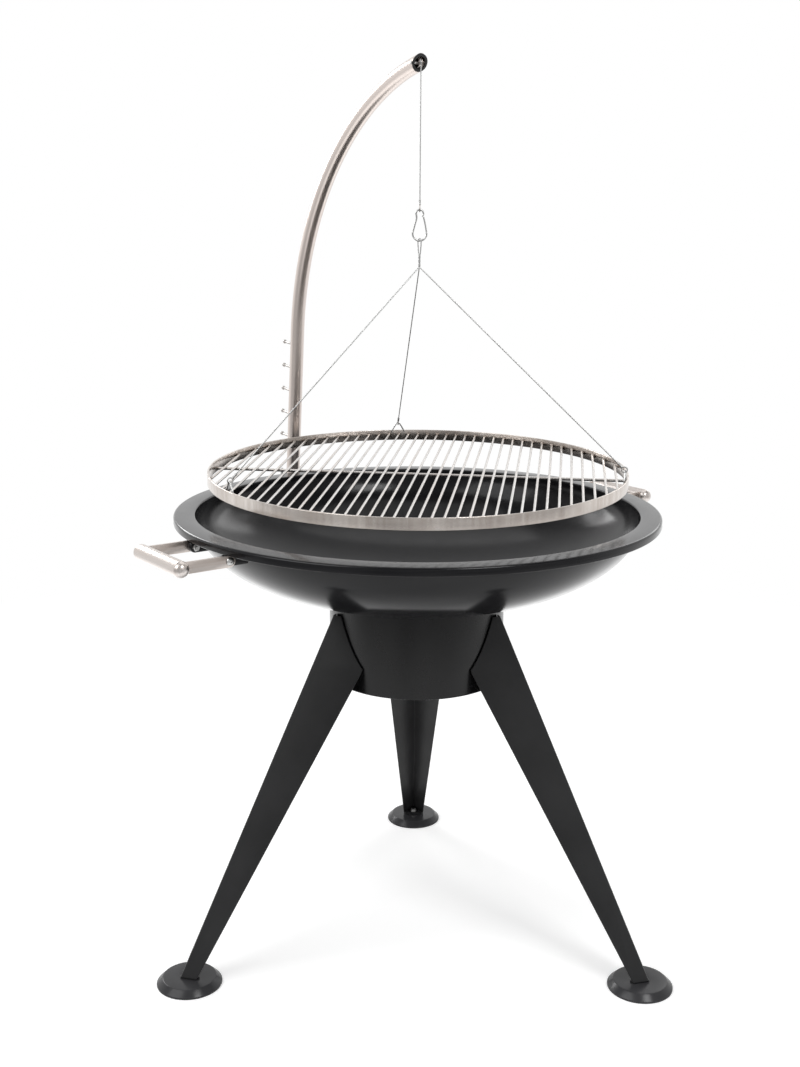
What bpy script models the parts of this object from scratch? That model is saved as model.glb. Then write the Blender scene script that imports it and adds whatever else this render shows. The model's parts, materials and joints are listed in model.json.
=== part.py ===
"""Tripod swing grill: a fire bowl on three folded legs, and a grate on a cable from a swinging arm.

Metres, +Z up. The origin is on the ground, at the middle of the whole grill's outline.
The grill's own axis, through the bowl and the cable, is at GRILL_Y. Azimuths count from +X.
"""

import math

import bmesh
import bpy
from mathutils import Matrix, Vector

# Clearance between pieces that touch
GAP = 0.0003

# Fire bowl
RIM_R = 0.400
RIM_WIDTH = 0.035
RIM_TOP_Z = 0.7485
LIP_DROP = 0.013
LIP_ROUND_R = 0.004
BOWL_WALL = 0.0025
BOWL_DEPTH = 0.154
BOWL_FLAT_R = 0.066
BOWL_SEGMENTS = 48

# Base drum and the bolt that holds the bowl on it
DRUM_R = 0.1465
DRUM_WALL = 0.002
DRUM_DROP = 0.2839
DRUM_LIP = 0.012
PLATE_T = 0.003
BOWL_BOLT_R = 0.006
BOWL_BOLT_LENGTH = 0.024
BOWL_HEX_R = 0.011
WASHER_R = 0.014
WASHER_T = 0.0025
HEX_HEIGHT = 0.0075

# Legs: folded sheets, ridge outward, and their feet
LEG_AZIMUTHS = {"rear": 90.0, "left": 210.0, "right": 330.0}
LEG_SHEET = 0.0025
RIDGE_TOP_SETBACK = 0.012
RIDGE_TOP_DROP = 0.020
RIDGE_OVERHANG = 0.0168
FLANGE_FOOT = 0.0285
FLANGE_TOP = 0.0962
LEG_RINGS = (0.0, 0.0174, 0.0436, 0.0698, 0.0959, 0.1221, 0.1587, 0.314, 0.663)
TAB_SHARE = 0.8
FOOT_CIRCLE_R = 0.4237
FOOT_R = 0.0529
FOOT_TOP_R = 0.0433
FOOT_H = 0.0123
FOOT_EDGE_H = 0.003
LEG_PLATE_T = 0.003
FOOT_BOLT_R = 0.003
FOOT_BOLT_DEPTH = 0.007
FOOT_HEX_R = 0.0058
FOOT_HEX_HEIGHT = 0.004
FOOT_WASHER_R = 0.0065
FOOT_WASHER_T = 0.0015

# Swinging arm: a leaning tube bent over the bowl
ARM_AZIMUTH = 124.0
ARM_LEAN = 5.08
ARM_RIM_GAP = 0.021
ARM_RIM_RISE = 0.0015
TUBE_R = 0.0125
TUBE_WALL = 0.002
TUBE_SIDES = 12
STRAIGHT_LENGTH = 0.403
BEND_ANGLE = 73.52
BEND_STEPS = 22
TIP_CENTRE_R = 0.003344
TIP_FACE_R = 0.0042
CAP_INNER_R = 0.0095
CAP_OUTER_R = 0.0140
CAP_T = 0.0015

# Socket that holds the arm, its gusset and its clamp screw
SOCKET_DROP = 0.1385
SOCKET_LENGTH = 0.1325
SOCKET_R = 0.016
SOCKET_STOP_T = 0.004
GUSSET_T = 0.005
GUSSET_TOP_DROP = 0.004
GUSSET_RISE = 0.030
GUSSET_ROOT = 0.030
GUSSET_LOW_ROOT = 0.0775
GUSSET_SLANT = 0.015
CLAMP_HEIGHT = 0.1054
CLAMP_TURN = 26.0
SCREW_R = 0.003
BOSS_R = 0.007
BOSS_REACH = 0.0205
SCREW_REACH = 0.026
COLLAR_R = 0.0055
COLLAR_LENGTH = 0.006
T_BAR_R = 0.0025
T_BAR_LENGTH = 0.066

# Height pins
PIN_COUNT = 5
PIN_PITCH = 0.0442
TOP_PIN_HEIGHT = 0.3775
PIN_R = 0.00225
PIN_HEAD_R = 0.004
PIN_REACH = 0.050

# Cable and the roller in the arm's tip
CABLE_R = 0.001
ROLLER_PITCH_R = 0.008
ROLLER_DROP = 0.000429
ROLLER_RIM_R = 0.0088
ROLLER_WIDTH = 0.007
ROLLER_FLANGE = 0.0008
GROOVE_HALF_WIDTH = 0.0012
ROLLER_PIN_R = 0.0025
ROLLER_PIN_LENGTH = 0.029
ROLLER_PIN_CHAMFER = 0.00075
EXIT_RISE = 0.01815
EXIT_HALF_HEIGHT = 0.010
EXIT_HALF_WIDTH = 0.003
END_RING_R = 0.0053
END_RING_WIRE_R = 0.001
END_FERRULE_R = 0.002
END_FERRULE_LENGTH = 0.0075
INSIDE_ANGLES = (70, 63, 56, 49, 42, 35, 28, 21, 14, 8)
# The cable's way out: shares of its reach outside, and slot half heights above the slot's middle
WAY_OUT = ((0.0676, 3.45), (0.2838, 1.95), (0.5743, 0.75), (0.8311, -0.2), (0.9595, -1.0))

# Snap hook, with the cable's ferrule and eye above it
HOOK_RISE = 0.091
HOOK_WIRE_R = 0.0015
HOOK_TOP_BEND_R = 0.0058
HOOK_LOW_BEND_R = 0.011
HOOK_BEND_SPACING = 0.0312
NOSE_ANGLE = -35.0
GATE_END_ANGLE = 5.0
GATE_R = 0.0013
GATE_HINGE_GAP = 0.0006
GATE_TIP = Vector((0.0060, 0.0, -0.0112))
EYE_WIRE_R = 0.0008
EYE_BEND_R = 0.0030
EYE_NECK = 0.0010
EYE_HEIGHT = 0.0073
EYE_SHOULDER = 0.0015
FERRULE_R = 0.0022
FERRULE_LENGTH = 0.0082

# Wire loop and sleeve under the hook, and the three grate wires
WIRE_RISE = 0.3235
SLEEVE_R = 0.0025
SLEEVE_LENGTH = 0.020
LOOP_WIRE_R = 0.001
LOOP_BEND_R = 0.004
LOOP_NECK = 0.0011
LOOP_SHOULDER = 0.0036
LOOP_SLACK = 0.0005
LOOP_TURN = 40.0
WIRE_AZIMUTHS = (96.0, 212.0, 346.0)
WIRE_START_R = 0.0018
WIRE_START_DROP = 0.0008
WIRE_EYE_R = 0.0045
WIRE_FERRULE_R = 0.002
WIRE_FERRULE_LENGTH = 0.010

# Grate
HOOP_R = 0.344
HOOP_T = 0.003
HOOP_H = 0.019
GRATE_RISE = 0.069
HOOP_SEGMENTS = 60
GRATE_TILT = 1.8
ROD_R = 0.002
ROD_PITCH = 0.018
ROD_DROP = 0.0085
ROD_AZIMUTH = 83.4
CROSS_BAR_R = 0.0025
WELD_DEPTH = 0.001
BAIL_WIRE_R = 0.0014
BAIL_WIDTH = 0.022
BAIL_RISE = 0.014
BAIL_LEG = 0.0055

# Handles: a grip between two straps that pivot on lugs under the rim
HANDLE_AZIMUTHS = {"right": 36.4, "left": 216.4}
HANDLE_PIVOT_INSET = 0.012
HANDLE_REACH = 0.081
STRAP_H = 0.018
STRAP_T = 0.004
STRAP_Y = 0.060
STRAP_STOP_GAP = 0.0005
LUG_T = 0.0115
LUG_R = 0.0085
LUG_ROOT = 0.033
PIVOT_BOLT_R = 0.003
PIVOT_HEAD_R = 0.0065
PIVOT_HEAD_H = 0.004
PIVOT_NUT_AF_R = 0.0058
PIVOT_NUT_H = 0.005
PIVOT_BOLT_TAIL = 0.002
PIVOT_HEAD_CROWN = (0.6, 0.8)
GRIP_R = 0.0125
GRIP_LENGTH = 0.150
GRIP_DOME = 0.0115

# Colour, roughness and metallic value of each finish
BLACK_ENAMEL = ((0.018, 0.018, 0.020), 0.30, 0.0)
BLACK_PLASTIC = ((0.012, 0.012, 0.012), 0.45, 0.0)
POLISHED_STEEL = ((0.62, 0.57, 0.54), 0.25, 1.0)
CABLE_STEEL = ((0.45, 0.43, 0.41), 0.40, 1.0)
ZINC = ((0.55, 0.55, 0.53), 0.35, 1.0)

# Sizes that follow from the ones above
GRILL_Y = (RIM_R - FOOT_CIRCLE_R - FOOT_R) / 2
BOWL_R = RIM_R - RIM_WIDTH + BOWL_WALL
FLANGE_Z = RIM_TOP_Z - BOWL_WALL
LIP_BOTTOM_Z = RIM_TOP_Z - LIP_DROP
DRUM_BOTTOM_Z = RIM_TOP_Z - DRUM_DROP
RIDGE_FOOT_R = FOOT_CIRCLE_R + RIDGE_OVERHANG
SOCKET_FOOT_Z = RIM_TOP_Z - SOCKET_DROP
CABLE_END_HEIGHT = TOP_PIN_HEIGHT + 2 * END_RING_R - PIN_R + END_FERRULE_LENGTH
EXIT_HEIGHT = CABLE_END_HEIGHT + EXIT_RISE
LEAN = math.radians(ARM_LEAN)
TIP_LEAN = math.radians(ARM_LEAN + BEND_ANGLE)
ARM_FOOT_R = RIM_R + ARM_RIM_GAP + (ARM_RIM_RISE + SOCKET_DROP) * math.tan(LEAN)
STRAIGHT_TOP_R = ARM_FOOT_R - STRAIGHT_LENGTH * math.sin(LEAN)
BEND_R = (STRAIGHT_TOP_R - TIP_CENTRE_R) / (math.cos(LEAN) - math.cos(TIP_LEAN))
BEND_RISE = BEND_R * (math.sin(TIP_LEAN) - math.sin(LEAN))
ROLLER_Z = SOCKET_FOOT_Z + STRAIGHT_LENGTH * math.cos(LEAN) + BEND_RISE - ROLLER_DROP
HOOP_TOP_Z = RIM_TOP_Z + GRATE_RISE
JUNCTION_Z = HOOP_TOP_Z + WIRE_RISE
HOOK_TOP_Z = JUNCTION_Z + HOOK_RISE
HANDLE_PIVOT_R = RIM_R - HANDLE_PIVOT_INSET
HANDLE_PIVOT_Z = LIP_BOTTOM_Z - STRAP_STOP_GAP - STRAP_H / 2
HOOP_CLEAR_R = (HOOP_R - HOOP_T) * math.cos(math.pi / HOOP_SEGMENTS) - GAP


def shift(x=0.0, y=0.0, z=0.0):
    return Matrix.Translation((x, y, z))


def turn(degrees, axis):
    return Matrix.Rotation(math.radians(degrees), 4, axis)


def polar(radius, degrees):
    return radius * math.cos(math.radians(degrees)), radius * math.sin(math.radians(degrees))


def arc(centre, radius, start, end, steps):
    """Points of an arc in a plane, from one angle to another."""
    points = []
    for step in range(steps + 1):
        x, y = polar(radius, start + (end - start) * step / steps)
        points.append((centre[0] + x, centre[1] + y))
    return points


def bowl_under(radius):
    """Height of the bowl's underside at a radius."""
    return FLANGE_Z - BOWL_DEPTH * math.sqrt(1 - (radius / BOWL_R) ** 2)


def arm_radius(height):
    """Distance of the straight tube's axis from the grill's axis at a height."""
    return ARM_FOOT_R + (SOCKET_FOOT_Z - height) * math.tan(LEAN)


def ring_section(radius, wire_r, sides):
    """Section of a ring of round wire, for turning."""
    return arc((radius, 0), wire_r, 0, 360 - 360 / sides, sides - 1)


def finished(bm, name):
    """Turns a bmesh into a mesh with its faces outward and its round faces smooth."""
    bmesh.ops.recalc_face_normals(bm, faces=bm.faces)
    mesh = bpy.data.meshes.new(name)
    bm.to_mesh(mesh)
    bm.free()
    mesh.shade_smooth()
    mesh.set_sharp_from_angle(angle=math.radians(40))
    return mesh


def turned(name, outline, segments, ring=False):
    """Turns an outline of (radius, height) points about Z. A ring's outline closes on itself."""
    bm = bmesh.new()
    verts = [bm.verts.new((radius, 0, height)) for radius, height in outline]
    pairs = list(zip(verts, verts[1:]))
    if ring:
        pairs.append((verts[-1], verts[0]))
    edges = [bm.edges.new(pair) for pair in pairs]
    bmesh.ops.spin(bm, geom=verts + edges, axis=(0, 0, 1), angle=math.tau, steps=segments, use_merge=True)
    bmesh.ops.remove_doubles(bm, verts=bm.verts, dist=1e-6)
    return finished(bm, name)


def rod(name, radius, low, high, sides):
    """A straight bar along Z between two heights."""
    return turned(name, [(0, high), (radius, high), (radius, low), (0, low)], sides)


def extruded(name, outline, thickness):
    """A plate whose outline lies in XZ, centred on Y = 0."""
    bm = bmesh.new()
    face = bm.faces.new([bm.verts.new((x, -thickness / 2, z)) for x, z in outline])
    far = bmesh.ops.extrude_face_region(bm, geom=[face])["geom"]
    moved = [item for item in far if isinstance(item, bmesh.types.BMVert)]
    bmesh.ops.translate(bm, verts=moved, vec=(0, thickness, 0))
    return finished(bm, name)


def bridged(bm, rings):
    """Faces between each ring of points and the next."""
    for first, second in zip(rings, rings[1:]):
        for i in range(len(first)):
            j = (i + 1) % len(first)
            bm.faces.new((first[i], first[j], second[j], second[i]))


def combined(name, base, tools):
    """Joins or cuts a mesh with others, each given as (operation, mesh, place)."""
    work = bpy.data.objects.new(name, base)
    bpy.context.scene.collection.objects.link(work)
    made = [work]
    for operation, mesh, place in tools:
        tool = bpy.data.objects.new(mesh.name, mesh)
        tool.matrix_world = place
        bpy.context.scene.collection.objects.link(tool)
        made.append(tool)
        boolean = work.modifiers.new("combine", "BOOLEAN")
        boolean.operation = operation
        boolean.object = tool
        boolean.solver = "EXACT"
    bpy.context.view_layer.update()
    mesh = bpy.data.meshes.new_from_object(work.evaluated_get(bpy.context.evaluated_depsgraph_get()))
    for each in made:
        bpy.data.objects.remove(each)
    mesh.name = name
    return mesh


def wire_curve(name, points, radius, resolution=2):
    """A round wire along a list of points."""
    curve = bpy.data.curves.new(name, "CURVE")
    curve.dimensions = "3D"
    curve.bevel_depth = radius
    curve.bevel_resolution = resolution
    curve.use_fill_caps = True
    spline = curve.splines.new("POLY")
    spline.points.add(len(points) - 1)
    for point, place in zip(spline.points, points):
        point.co = (*place, 1)
    return curve


def wire_mesh(name, points, radius):
    """The same wire as a mesh, for pieces that are joined from several."""
    guide = bpy.data.objects.new(name, wire_curve(name, points, radius))
    bpy.context.scene.collection.objects.link(guide)
    bpy.context.view_layer.update()
    mesh = bpy.data.meshes.new_from_object(guide.evaluated_get(bpy.context.evaluated_depsgraph_get()))
    bpy.data.objects.remove(guide)
    bm = bmesh.new()
    bm.from_mesh(mesh)
    bmesh.ops.remove_doubles(bm, verts=bm.verts, dist=1e-6)
    return finished(bm, name)


def material(name, finish):
    colour, roughness, metallic = finish
    made = bpy.data.materials.new(name)
    made.use_nodes = True
    shader = made.node_tree.nodes["Principled BSDF"]
    shader.inputs["Base Color"].default_value = (*colour, 1)
    shader.inputs["Roughness"].default_value = roughness
    shader.inputs["Metallic"].default_value = metallic
    return made


def piece(name, data, finish, parent, place=None):
    """One piece of the grill. Copies of a piece share its mesh and its material."""
    made = bpy.data.objects.new(name, data)
    bpy.context.scene.collection.objects.link(made)
    made.parent = parent
    made.matrix_basis = place or Matrix()
    if not data.materials:
        data.materials.append(material(name + "_finish", finish))
    return made


def axis_empty(name, parent, place):
    """An empty that carries the pieces which move about it."""
    made = bpy.data.objects.new(name, None)
    bpy.context.scene.collection.objects.link(made)
    made.parent = parent
    made.matrix_basis = place
    return made


def hex_bolt(name, shank_r, shank_length, hex_r, hex_h, washer_r, washer_t):
    """A bolt pointing down, with its washer's underside at Z = 0."""
    outline = [(0, washer_t), (washer_r, washer_t), (washer_r, 0), (shank_r, 0)]
    outline += [(shank_r, -shank_length), (0, -shank_length)]
    head = rod(name + "_head", hex_r, washer_t - WELD_DEPTH, washer_t + hex_h, 6)
    return combined(name, turned(name, outline, 16), [("UNION", head, Matrix())])


def hex_nut(name, hex_r, height, bore_r):
    """A nut standing on Z = 0."""
    bore = rod(name + "_bore", bore_r, -height, 2 * height, 12)
    return combined(name, rod(name, hex_r, 0, height, 6), [("DIFFERENCE", bore, Matrix())])


def bowl_outline():
    """Section of the bowl: inside, rim, lip, outside and the flat bottom with its bolt hole."""
    hole = BOWL_BOLT_R + GAP
    flat_angle = math.degrees(math.asin(BOWL_FLAT_R / BOWL_R))
    steps = 9
    angles = [flat_angle + (90 - flat_angle) * step / steps for step in range(steps + 1)]
    inner = []
    outer = []
    for angle in angles:
        sine, cosine = math.sin(math.radians(angle)), math.cos(math.radians(angle))
        inner.append(((BOWL_R - BOWL_WALL) * sine, FLANGE_Z - (BOWL_DEPTH - BOWL_WALL) * cosine))
        outer.append((BOWL_R * sine, FLANGE_Z - BOWL_DEPTH * cosine))
    edge = (RIM_R - LIP_ROUND_R, RIM_TOP_Z - LIP_ROUND_R)
    outline = [(hole, inner[0][1])] + inner
    outline += [(BOWL_R, RIM_TOP_Z)]
    outline += arc(edge, LIP_ROUND_R, 90, 0, 3)
    outline += [(RIM_R, LIP_BOTTOM_Z), (RIM_R - BOWL_WALL, LIP_BOTTOM_Z)]
    outline += arc(edge, LIP_ROUND_R - BOWL_WALL, 0, 90, 1)
    outline += outer[::-1]
    return outline + [(hole, outer[0][1])]


def bowl_clearance():
    """The bowl's outside with the clearance round it, for cutting what is welded to it."""
    outline = []
    for angle in range(0, 91, 3):
        sine, cosine = math.sin(math.radians(angle)), math.cos(math.radians(angle))
        outline.append(((BOWL_R + GAP) * sine, FLANGE_Z - (BOWL_DEPTH + GAP) * cosine))
    return turned("bowl_clearance", outline + [(0, FLANGE_Z)], 96)


def make_bowl_and_base(grill):
    piece("fire_bowl", turned("fire_bowl", bowl_outline(), BOWL_SEGMENTS, ring=True), BLACK_ENAMEL, grill)
    inside = DRUM_R - DRUM_WALL
    outline = [
        (DRUM_R, bowl_under(DRUM_R) - GAP),
        (DRUM_R, DRUM_BOTTOM_Z),
        (DRUM_R - DRUM_LIP, DRUM_BOTTOM_Z),
        (DRUM_R - DRUM_LIP, DRUM_BOTTOM_Z + DRUM_WALL),
        (inside, DRUM_BOTTOM_Z + DRUM_WALL),
        (inside, bowl_under(inside) - GAP),
    ]
    piece("base_drum", turned("base_drum", outline, BOWL_SEGMENTS, ring=True), BLACK_ENAMEL, grill)
    top = bowl_under(BOWL_FLAT_R) - GAP
    hole = BOWL_BOLT_R + GAP
    edge = inside - GAP
    outline = [(hole, top), (edge, top), (edge, top - PLATE_T), (hole, top - PLATE_T)]
    piece("drum_plate", turned("drum_plate", outline, BOWL_SEGMENTS, ring=True), BLACK_ENAMEL, grill)
    bolt = hex_bolt("bowl_bolt", BOWL_BOLT_R, BOWL_BOLT_LENGTH, BOWL_HEX_R, HEX_HEIGHT, WASHER_R, WASHER_T)
    piece("bowl_bolt", bolt, ZINC, grill, shift(z=bowl_under(BOWL_FLAT_R) + BOWL_WALL + GAP))
    nut = hex_nut("bowl_nut", BOWL_HEX_R, HEX_HEIGHT, BOWL_BOLT_R + GAP)
    piece("bowl_nut", nut, ZINC, grill, shift(z=top - PLATE_T - GAP - HEX_HEIGHT))


def leg_section(height):
    """Points of the folded sheet at a height: the ridge, one flange and the other flange."""
    foot_z = FOOT_H + GAP
    top_r = DRUM_R + RIDGE_TOP_SETBACK
    top_z = bowl_under(DRUM_R) - RIDGE_TOP_DROP
    share = (height - foot_z) / (top_z - foot_z)
    ridge = RIDGE_FOOT_R + (top_r - RIDGE_FOOT_R) * share
    width = FLANGE_FOOT + (FLANGE_TOP - FLANGE_FOOT) * share
    slope = math.sqrt(0.5)
    fold = ridge - LEG_SHEET * math.sqrt(2)
    reach = (DRUM_R + GAP) ** 2 - fold ** 2 / 2
    if reach > 0:
        width = min(width, LEG_SHEET + slope * fold - math.sqrt(reach))
    outer = (ridge - slope * width, slope * width)
    inner = (outer[0] - slope * LEG_SHEET, outer[1] - slope * LEG_SHEET)
    return [
        Vector((ridge, 0, height)),
        Vector((outer[0], outer[1], height)),
        Vector((inner[0], inner[1], height)),
        Vector((fold, 0, height)),
        Vector((inner[0], -inner[1], height)),
        Vector((outer[0], -outer[1], height)),
    ]


def leg_mesh():
    """A leg in its own frame, +X outward: the folded sheet with the end plate that stands on the foot."""
    top_z = bowl_under(DRUM_R) - RIDGE_TOP_DROP
    foot_z = FOOT_H + GAP
    heights = [top_z - (top_z - foot_z) * share for share in LEG_RINGS]
    heights.append(foot_z + LEG_PLATE_T - WELD_DEPTH)
    bm = bmesh.new()
    rings = [[bm.verts.new(point) for point in leg_section(height)] for height in heights]
    bridged(bm, rings)
    for ring in (rings[0], rings[-1]):
        bm.faces.new((ring[0], ring[1], ring[2], ring[3]))
        bm.faces.new((ring[0], ring[3], ring[4], ring[5]))
    sheet = finished(bm, "leg")
    foot = leg_section(foot_z)
    tab = FOOT_CIRCLE_R - 2 * FOOT_HEX_R
    corners = [(foot[0].x, 0), (foot[1].x, foot[1].y), (tab, foot[1].y * TAB_SHARE)]
    corners += [(tab, -foot[1].y * TAB_SHARE), (foot[5].x, foot[5].y)]
    plate = extruded("leg_plate", corners, LEG_PLATE_T)
    lay_flat = shift(z=foot_z + LEG_PLATE_T / 2) @ turn(-90, "X")
    bore = rod("leg_bore", FOOT_BOLT_R + GAP, 0, 2 * FOOT_H, 12)
    tools = [("UNION", plate, lay_flat), ("DIFFERENCE", bore, shift(x=FOOT_CIRCLE_R))]
    return combined("leg", sheet, tools)


def make_legs(grill):
    leg = leg_mesh()
    pocket = FOOT_BOLT_R + GAP
    pocket_z = FOOT_H - FOOT_BOLT_DEPTH - GAP
    outline = [(0, pocket_z), (pocket, pocket_z), (pocket, FOOT_H), (FOOT_TOP_R, FOOT_H)]
    outline += [(FOOT_R, FOOT_EDGE_H), (FOOT_R, 0), (0, 0)]
    foot = turned("foot", outline, 24)
    bolt_length = FOOT_BOLT_DEPTH + LEG_PLATE_T + GAP
    hex_size = (FOOT_HEX_R, FOOT_HEX_HEIGHT, FOOT_WASHER_R, FOOT_WASHER_T)
    bolt = hex_bolt("foot_bolt", FOOT_BOLT_R, bolt_length, *hex_size)
    bolt_z = FOOT_H + LEG_PLATE_T + 2 * GAP
    for side, azimuth in LEG_AZIMUTHS.items():
        spoke = turn(azimuth, "Z")
        piece("leg_" + side, leg, BLACK_ENAMEL, grill, spoke)
        piece("foot_" + side, foot, BLACK_ENAMEL, grill, spoke @ shift(x=FOOT_CIRCLE_R))
        piece("foot_bolt_" + side, bolt, ZINC, grill, spoke @ shift(x=FOOT_CIRCLE_R, z=bolt_z))


def arm_place():
    """Frame of the arm's foot: Z along the leaning tube, X outward."""
    foot = shift(x=arm_radius(SOCKET_FOOT_Z), z=SOCKET_FOOT_Z)
    return turn(ARM_AZIMUTH, "Z") @ foot @ turn(-ARM_LEAN, "Y")


def in_arm(radius, height):
    """A point of the arm's upright plane, given in the frame of the arm's foot."""
    return arm_place().inverted() @ turn(ARM_AZIMUTH, "Z") @ Vector((radius, 0, height))


def bend_point(angle, offset=0.0):
    x, z = polar(BEND_R + offset, angle)
    return Vector((x - BEND_R, 0, STRAIGHT_LENGTH + z))


def make_socket(grill):
    place = arm_place()
    bore = TUBE_R + GAP
    outline = [(0, -SOCKET_STOP_T), (SOCKET_R, -SOCKET_STOP_T), (SOCKET_R, SOCKET_LENGTH)]
    outline += [(bore, SOCKET_LENGTH), (bore, -GAP), (0, -GAP)]
    sideways = shift(z=CLAMP_HEIGHT) @ turn(CLAMP_TURN, "Z") @ turn(90, "Y")
    boss = rod("boss", BOSS_R, bore + WELD_DEPTH, BOSS_REACH, 16)
    thread = rod("thread", SCREW_R + GAP, TUBE_R / 2, 2 * BOSS_REACH, 12)
    tools = [("UNION", boss, sideways), ("DIFFERENCE", thread, sideways)]
    socket = combined("arm_socket", turned("arm_socket", outline, 20), tools)
    piece("arm_socket", socket, BLACK_ENAMEL, grill, place)

    top = LIP_BOTTOM_Z - GUSSET_TOP_DROP
    low = SOCKET_FOOT_Z + GUSSET_RISE
    side = SOCKET_R / math.cos(LEAN) + GAP
    root = BOWL_R - GUSSET_ROOT
    low_root = BOWL_R - GUSSET_LOW_ROOT
    outline = [(arm_radius(top) - side, top), (root, top), (low_root, low + GUSSET_SLANT)]
    outline.append((arm_radius(low) - side, low))
    plate = extruded("socket_gusset", outline, GUSSET_T)
    cut = [("DIFFERENCE", bowl_clearance(), turn(-ARM_AZIMUTH, "Z"))]
    gusset = combined("socket_gusset", plate, cut)
    piece("socket_gusset", gusset, BLACK_ENAMEL, grill, turn(ARM_AZIMUTH, "Z"))

    clamp = axis_empty("clamp_axis", grill, place @ sideways)
    bar = rod("t_bar", T_BAR_R, -T_BAR_LENGTH / 2, T_BAR_LENGTH / 2, 12)
    half = COLLAR_LENGTH / 2
    outline = [(0, TUBE_R + GAP), (SCREW_R, TUBE_R + GAP), (SCREW_R, SCREW_REACH - half)]
    outline += [(COLLAR_R, SCREW_REACH - half), (COLLAR_R, SCREW_REACH + half), (0, SCREW_REACH + half)]
    across = shift(z=SCREW_REACH) @ turn(90, "Y")
    screw = combined("arm_clamp_screw", turned("arm_clamp_screw", outline, 12), [("UNION", bar, across)])
    piece("arm_clamp_screw", screw, ZINC, clamp)


def arm_tube_mesh():
    """The hollow tube. Its last ring is cut upright, and it is open for the roller pin and the cable."""
    place = arm_place()
    tangents = [Vector((0, 0, 1))]
    centres = [Vector((0, 0, 0))]
    for step in range(BEND_STEPS + 1):
        angle = BEND_ANGLE * step / BEND_STEPS
        centres.append(bend_point(angle))
        x, z = polar(1, angle + 90)
        tangents.append(Vector((x, 0, z)))
    face = (place.to_3x3().inverted() @ turn(ARM_AZIMUTH, "Z").to_3x3()) @ Vector((1, 0, 0))
    tip = in_arm(TIP_FACE_R, ROLLER_Z)
    bm = bmesh.new()

    def rings(radius):
        made = []
        for centre, tangent in zip(centres, tangents):
            across = Vector((0, 1, 0))
            up = tangent.cross(across)
            ring = []
            for side in range(TUBE_SIDES):
                x, y = polar(radius, 360 * side / TUBE_SIDES)
                point = centre + up * x + across * y
                if centre is centres[-1]:
                    point += tangent * ((tip - point).dot(face) / tangent.dot(face))
                ring.append(bm.verts.new(point))
            made.append(ring)
        return made

    outer = rings(TUBE_R)
    inner = rings(TUBE_R - TUBE_WALL)
    bridged(bm, outer + inner[::-1] + [outer[0]])
    tube = finished(bm, "arm_tube")
    pin_hole = rod("pin_hole", ROLLER_PIN_R + GAP, -2 * TUBE_R, 2 * TUBE_R, 12)
    pin_place = Matrix.Translation(in_arm(ROLLER_PITCH_R, ROLLER_Z)) @ turn(90, "X")
    slot = rod("cable_slot", 1, TUBE_R / 2, 2 * TUBE_R, 12)
    slot.transform(Matrix.Diagonal((EXIT_HALF_HEIGHT, EXIT_HALF_WIDTH, 1, 1)))
    slot_place = shift(z=EXIT_HEIGHT) @ turn(90, "Y")
    tools = [("DIFFERENCE", pin_hole, pin_place), ("DIFFERENCE", slot, slot_place)]
    return combined("arm_tube", tube, tools)


def make_arm(grill):
    place = arm_place()
    arm = axis_empty("arm_axis", grill, place)
    piece("arm_tube", arm_tube_mesh(), POLISHED_STEEL, arm)

    face_place = place.inverted() @ turn(ARM_AZIMUTH, "Z")
    centre_z = (place @ bend_point(BEND_ANGLE)).z
    outline = [(CAP_INNER_R, 0), (CAP_OUTER_R, 0), (CAP_OUTER_R, CAP_T), (CAP_INNER_R, CAP_T)]
    cap_place = face_place @ shift(x=TIP_FACE_R - GAP - CAP_T, z=centre_z) @ turn(90, "Y")
    piece("arm_end_cap", turned("arm_end_cap", outline, 24, ring=True), BLACK_PLASTIC, arm, cap_place)

    tip = axis_empty("roller_axis", arm, face_place @ shift(x=ROLLER_PITCH_R, z=ROLLER_Z) @ turn(90, "X"))
    half = ROLLER_PIN_LENGTH / 2
    end_r = ROLLER_PIN_R - ROLLER_PIN_CHAMFER
    outline = [(0, half), (end_r, half), (ROLLER_PIN_R, half - ROLLER_PIN_CHAMFER)]
    outline += [(ROLLER_PIN_R, ROLLER_PIN_CHAMFER - half), (end_r, -half), (0, -half)]
    piece("roller_pin", turned("roller_pin", outline, 12), ZINC, tip)
    bore = ROLLER_PIN_R + GAP
    groove = ROLLER_PITCH_R - CABLE_R - GAP
    half = ROLLER_WIDTH / 2
    flank = half - ROLLER_FLANGE
    outline = [(bore, half), (bore, -half), (ROLLER_RIM_R, -half), (ROLLER_RIM_R, -flank)]
    outline += [(groove, -GROOVE_HALF_WIDTH), (groove, GROOVE_HALF_WIDTH)]
    outline += [(ROLLER_RIM_R, flank), (ROLLER_RIM_R, half)]
    piece("tip_roller", turned("tip_roller", outline, 20, ring=True), ZINC, tip)

    head = PIN_REACH - PIN_HEAD_R
    neck_angle = math.degrees(math.acos(-math.sqrt(1 - (PIN_R / PIN_HEAD_R) ** 2)))
    ball = [(x, head + y) for y, x in arc((0, 0), PIN_HEAD_R, 0, neck_angle, 5)]
    outline = ball + [(PIN_R, TUBE_R + GAP), (0, TUBE_R + GAP)]
    pin = turned("height_pin", [(0, PIN_REACH)] + outline[1:], 8)
    for index in range(PIN_COUNT):
        pin_place = shift(z=TOP_PIN_HEIGHT - PIN_PITCH * index) @ turn(90, "Y")
        piece("height_pin_%d" % (index + 1), pin, POLISHED_STEEL, arm, pin_place)
    make_lift_cable(arm)
    return arm


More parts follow.
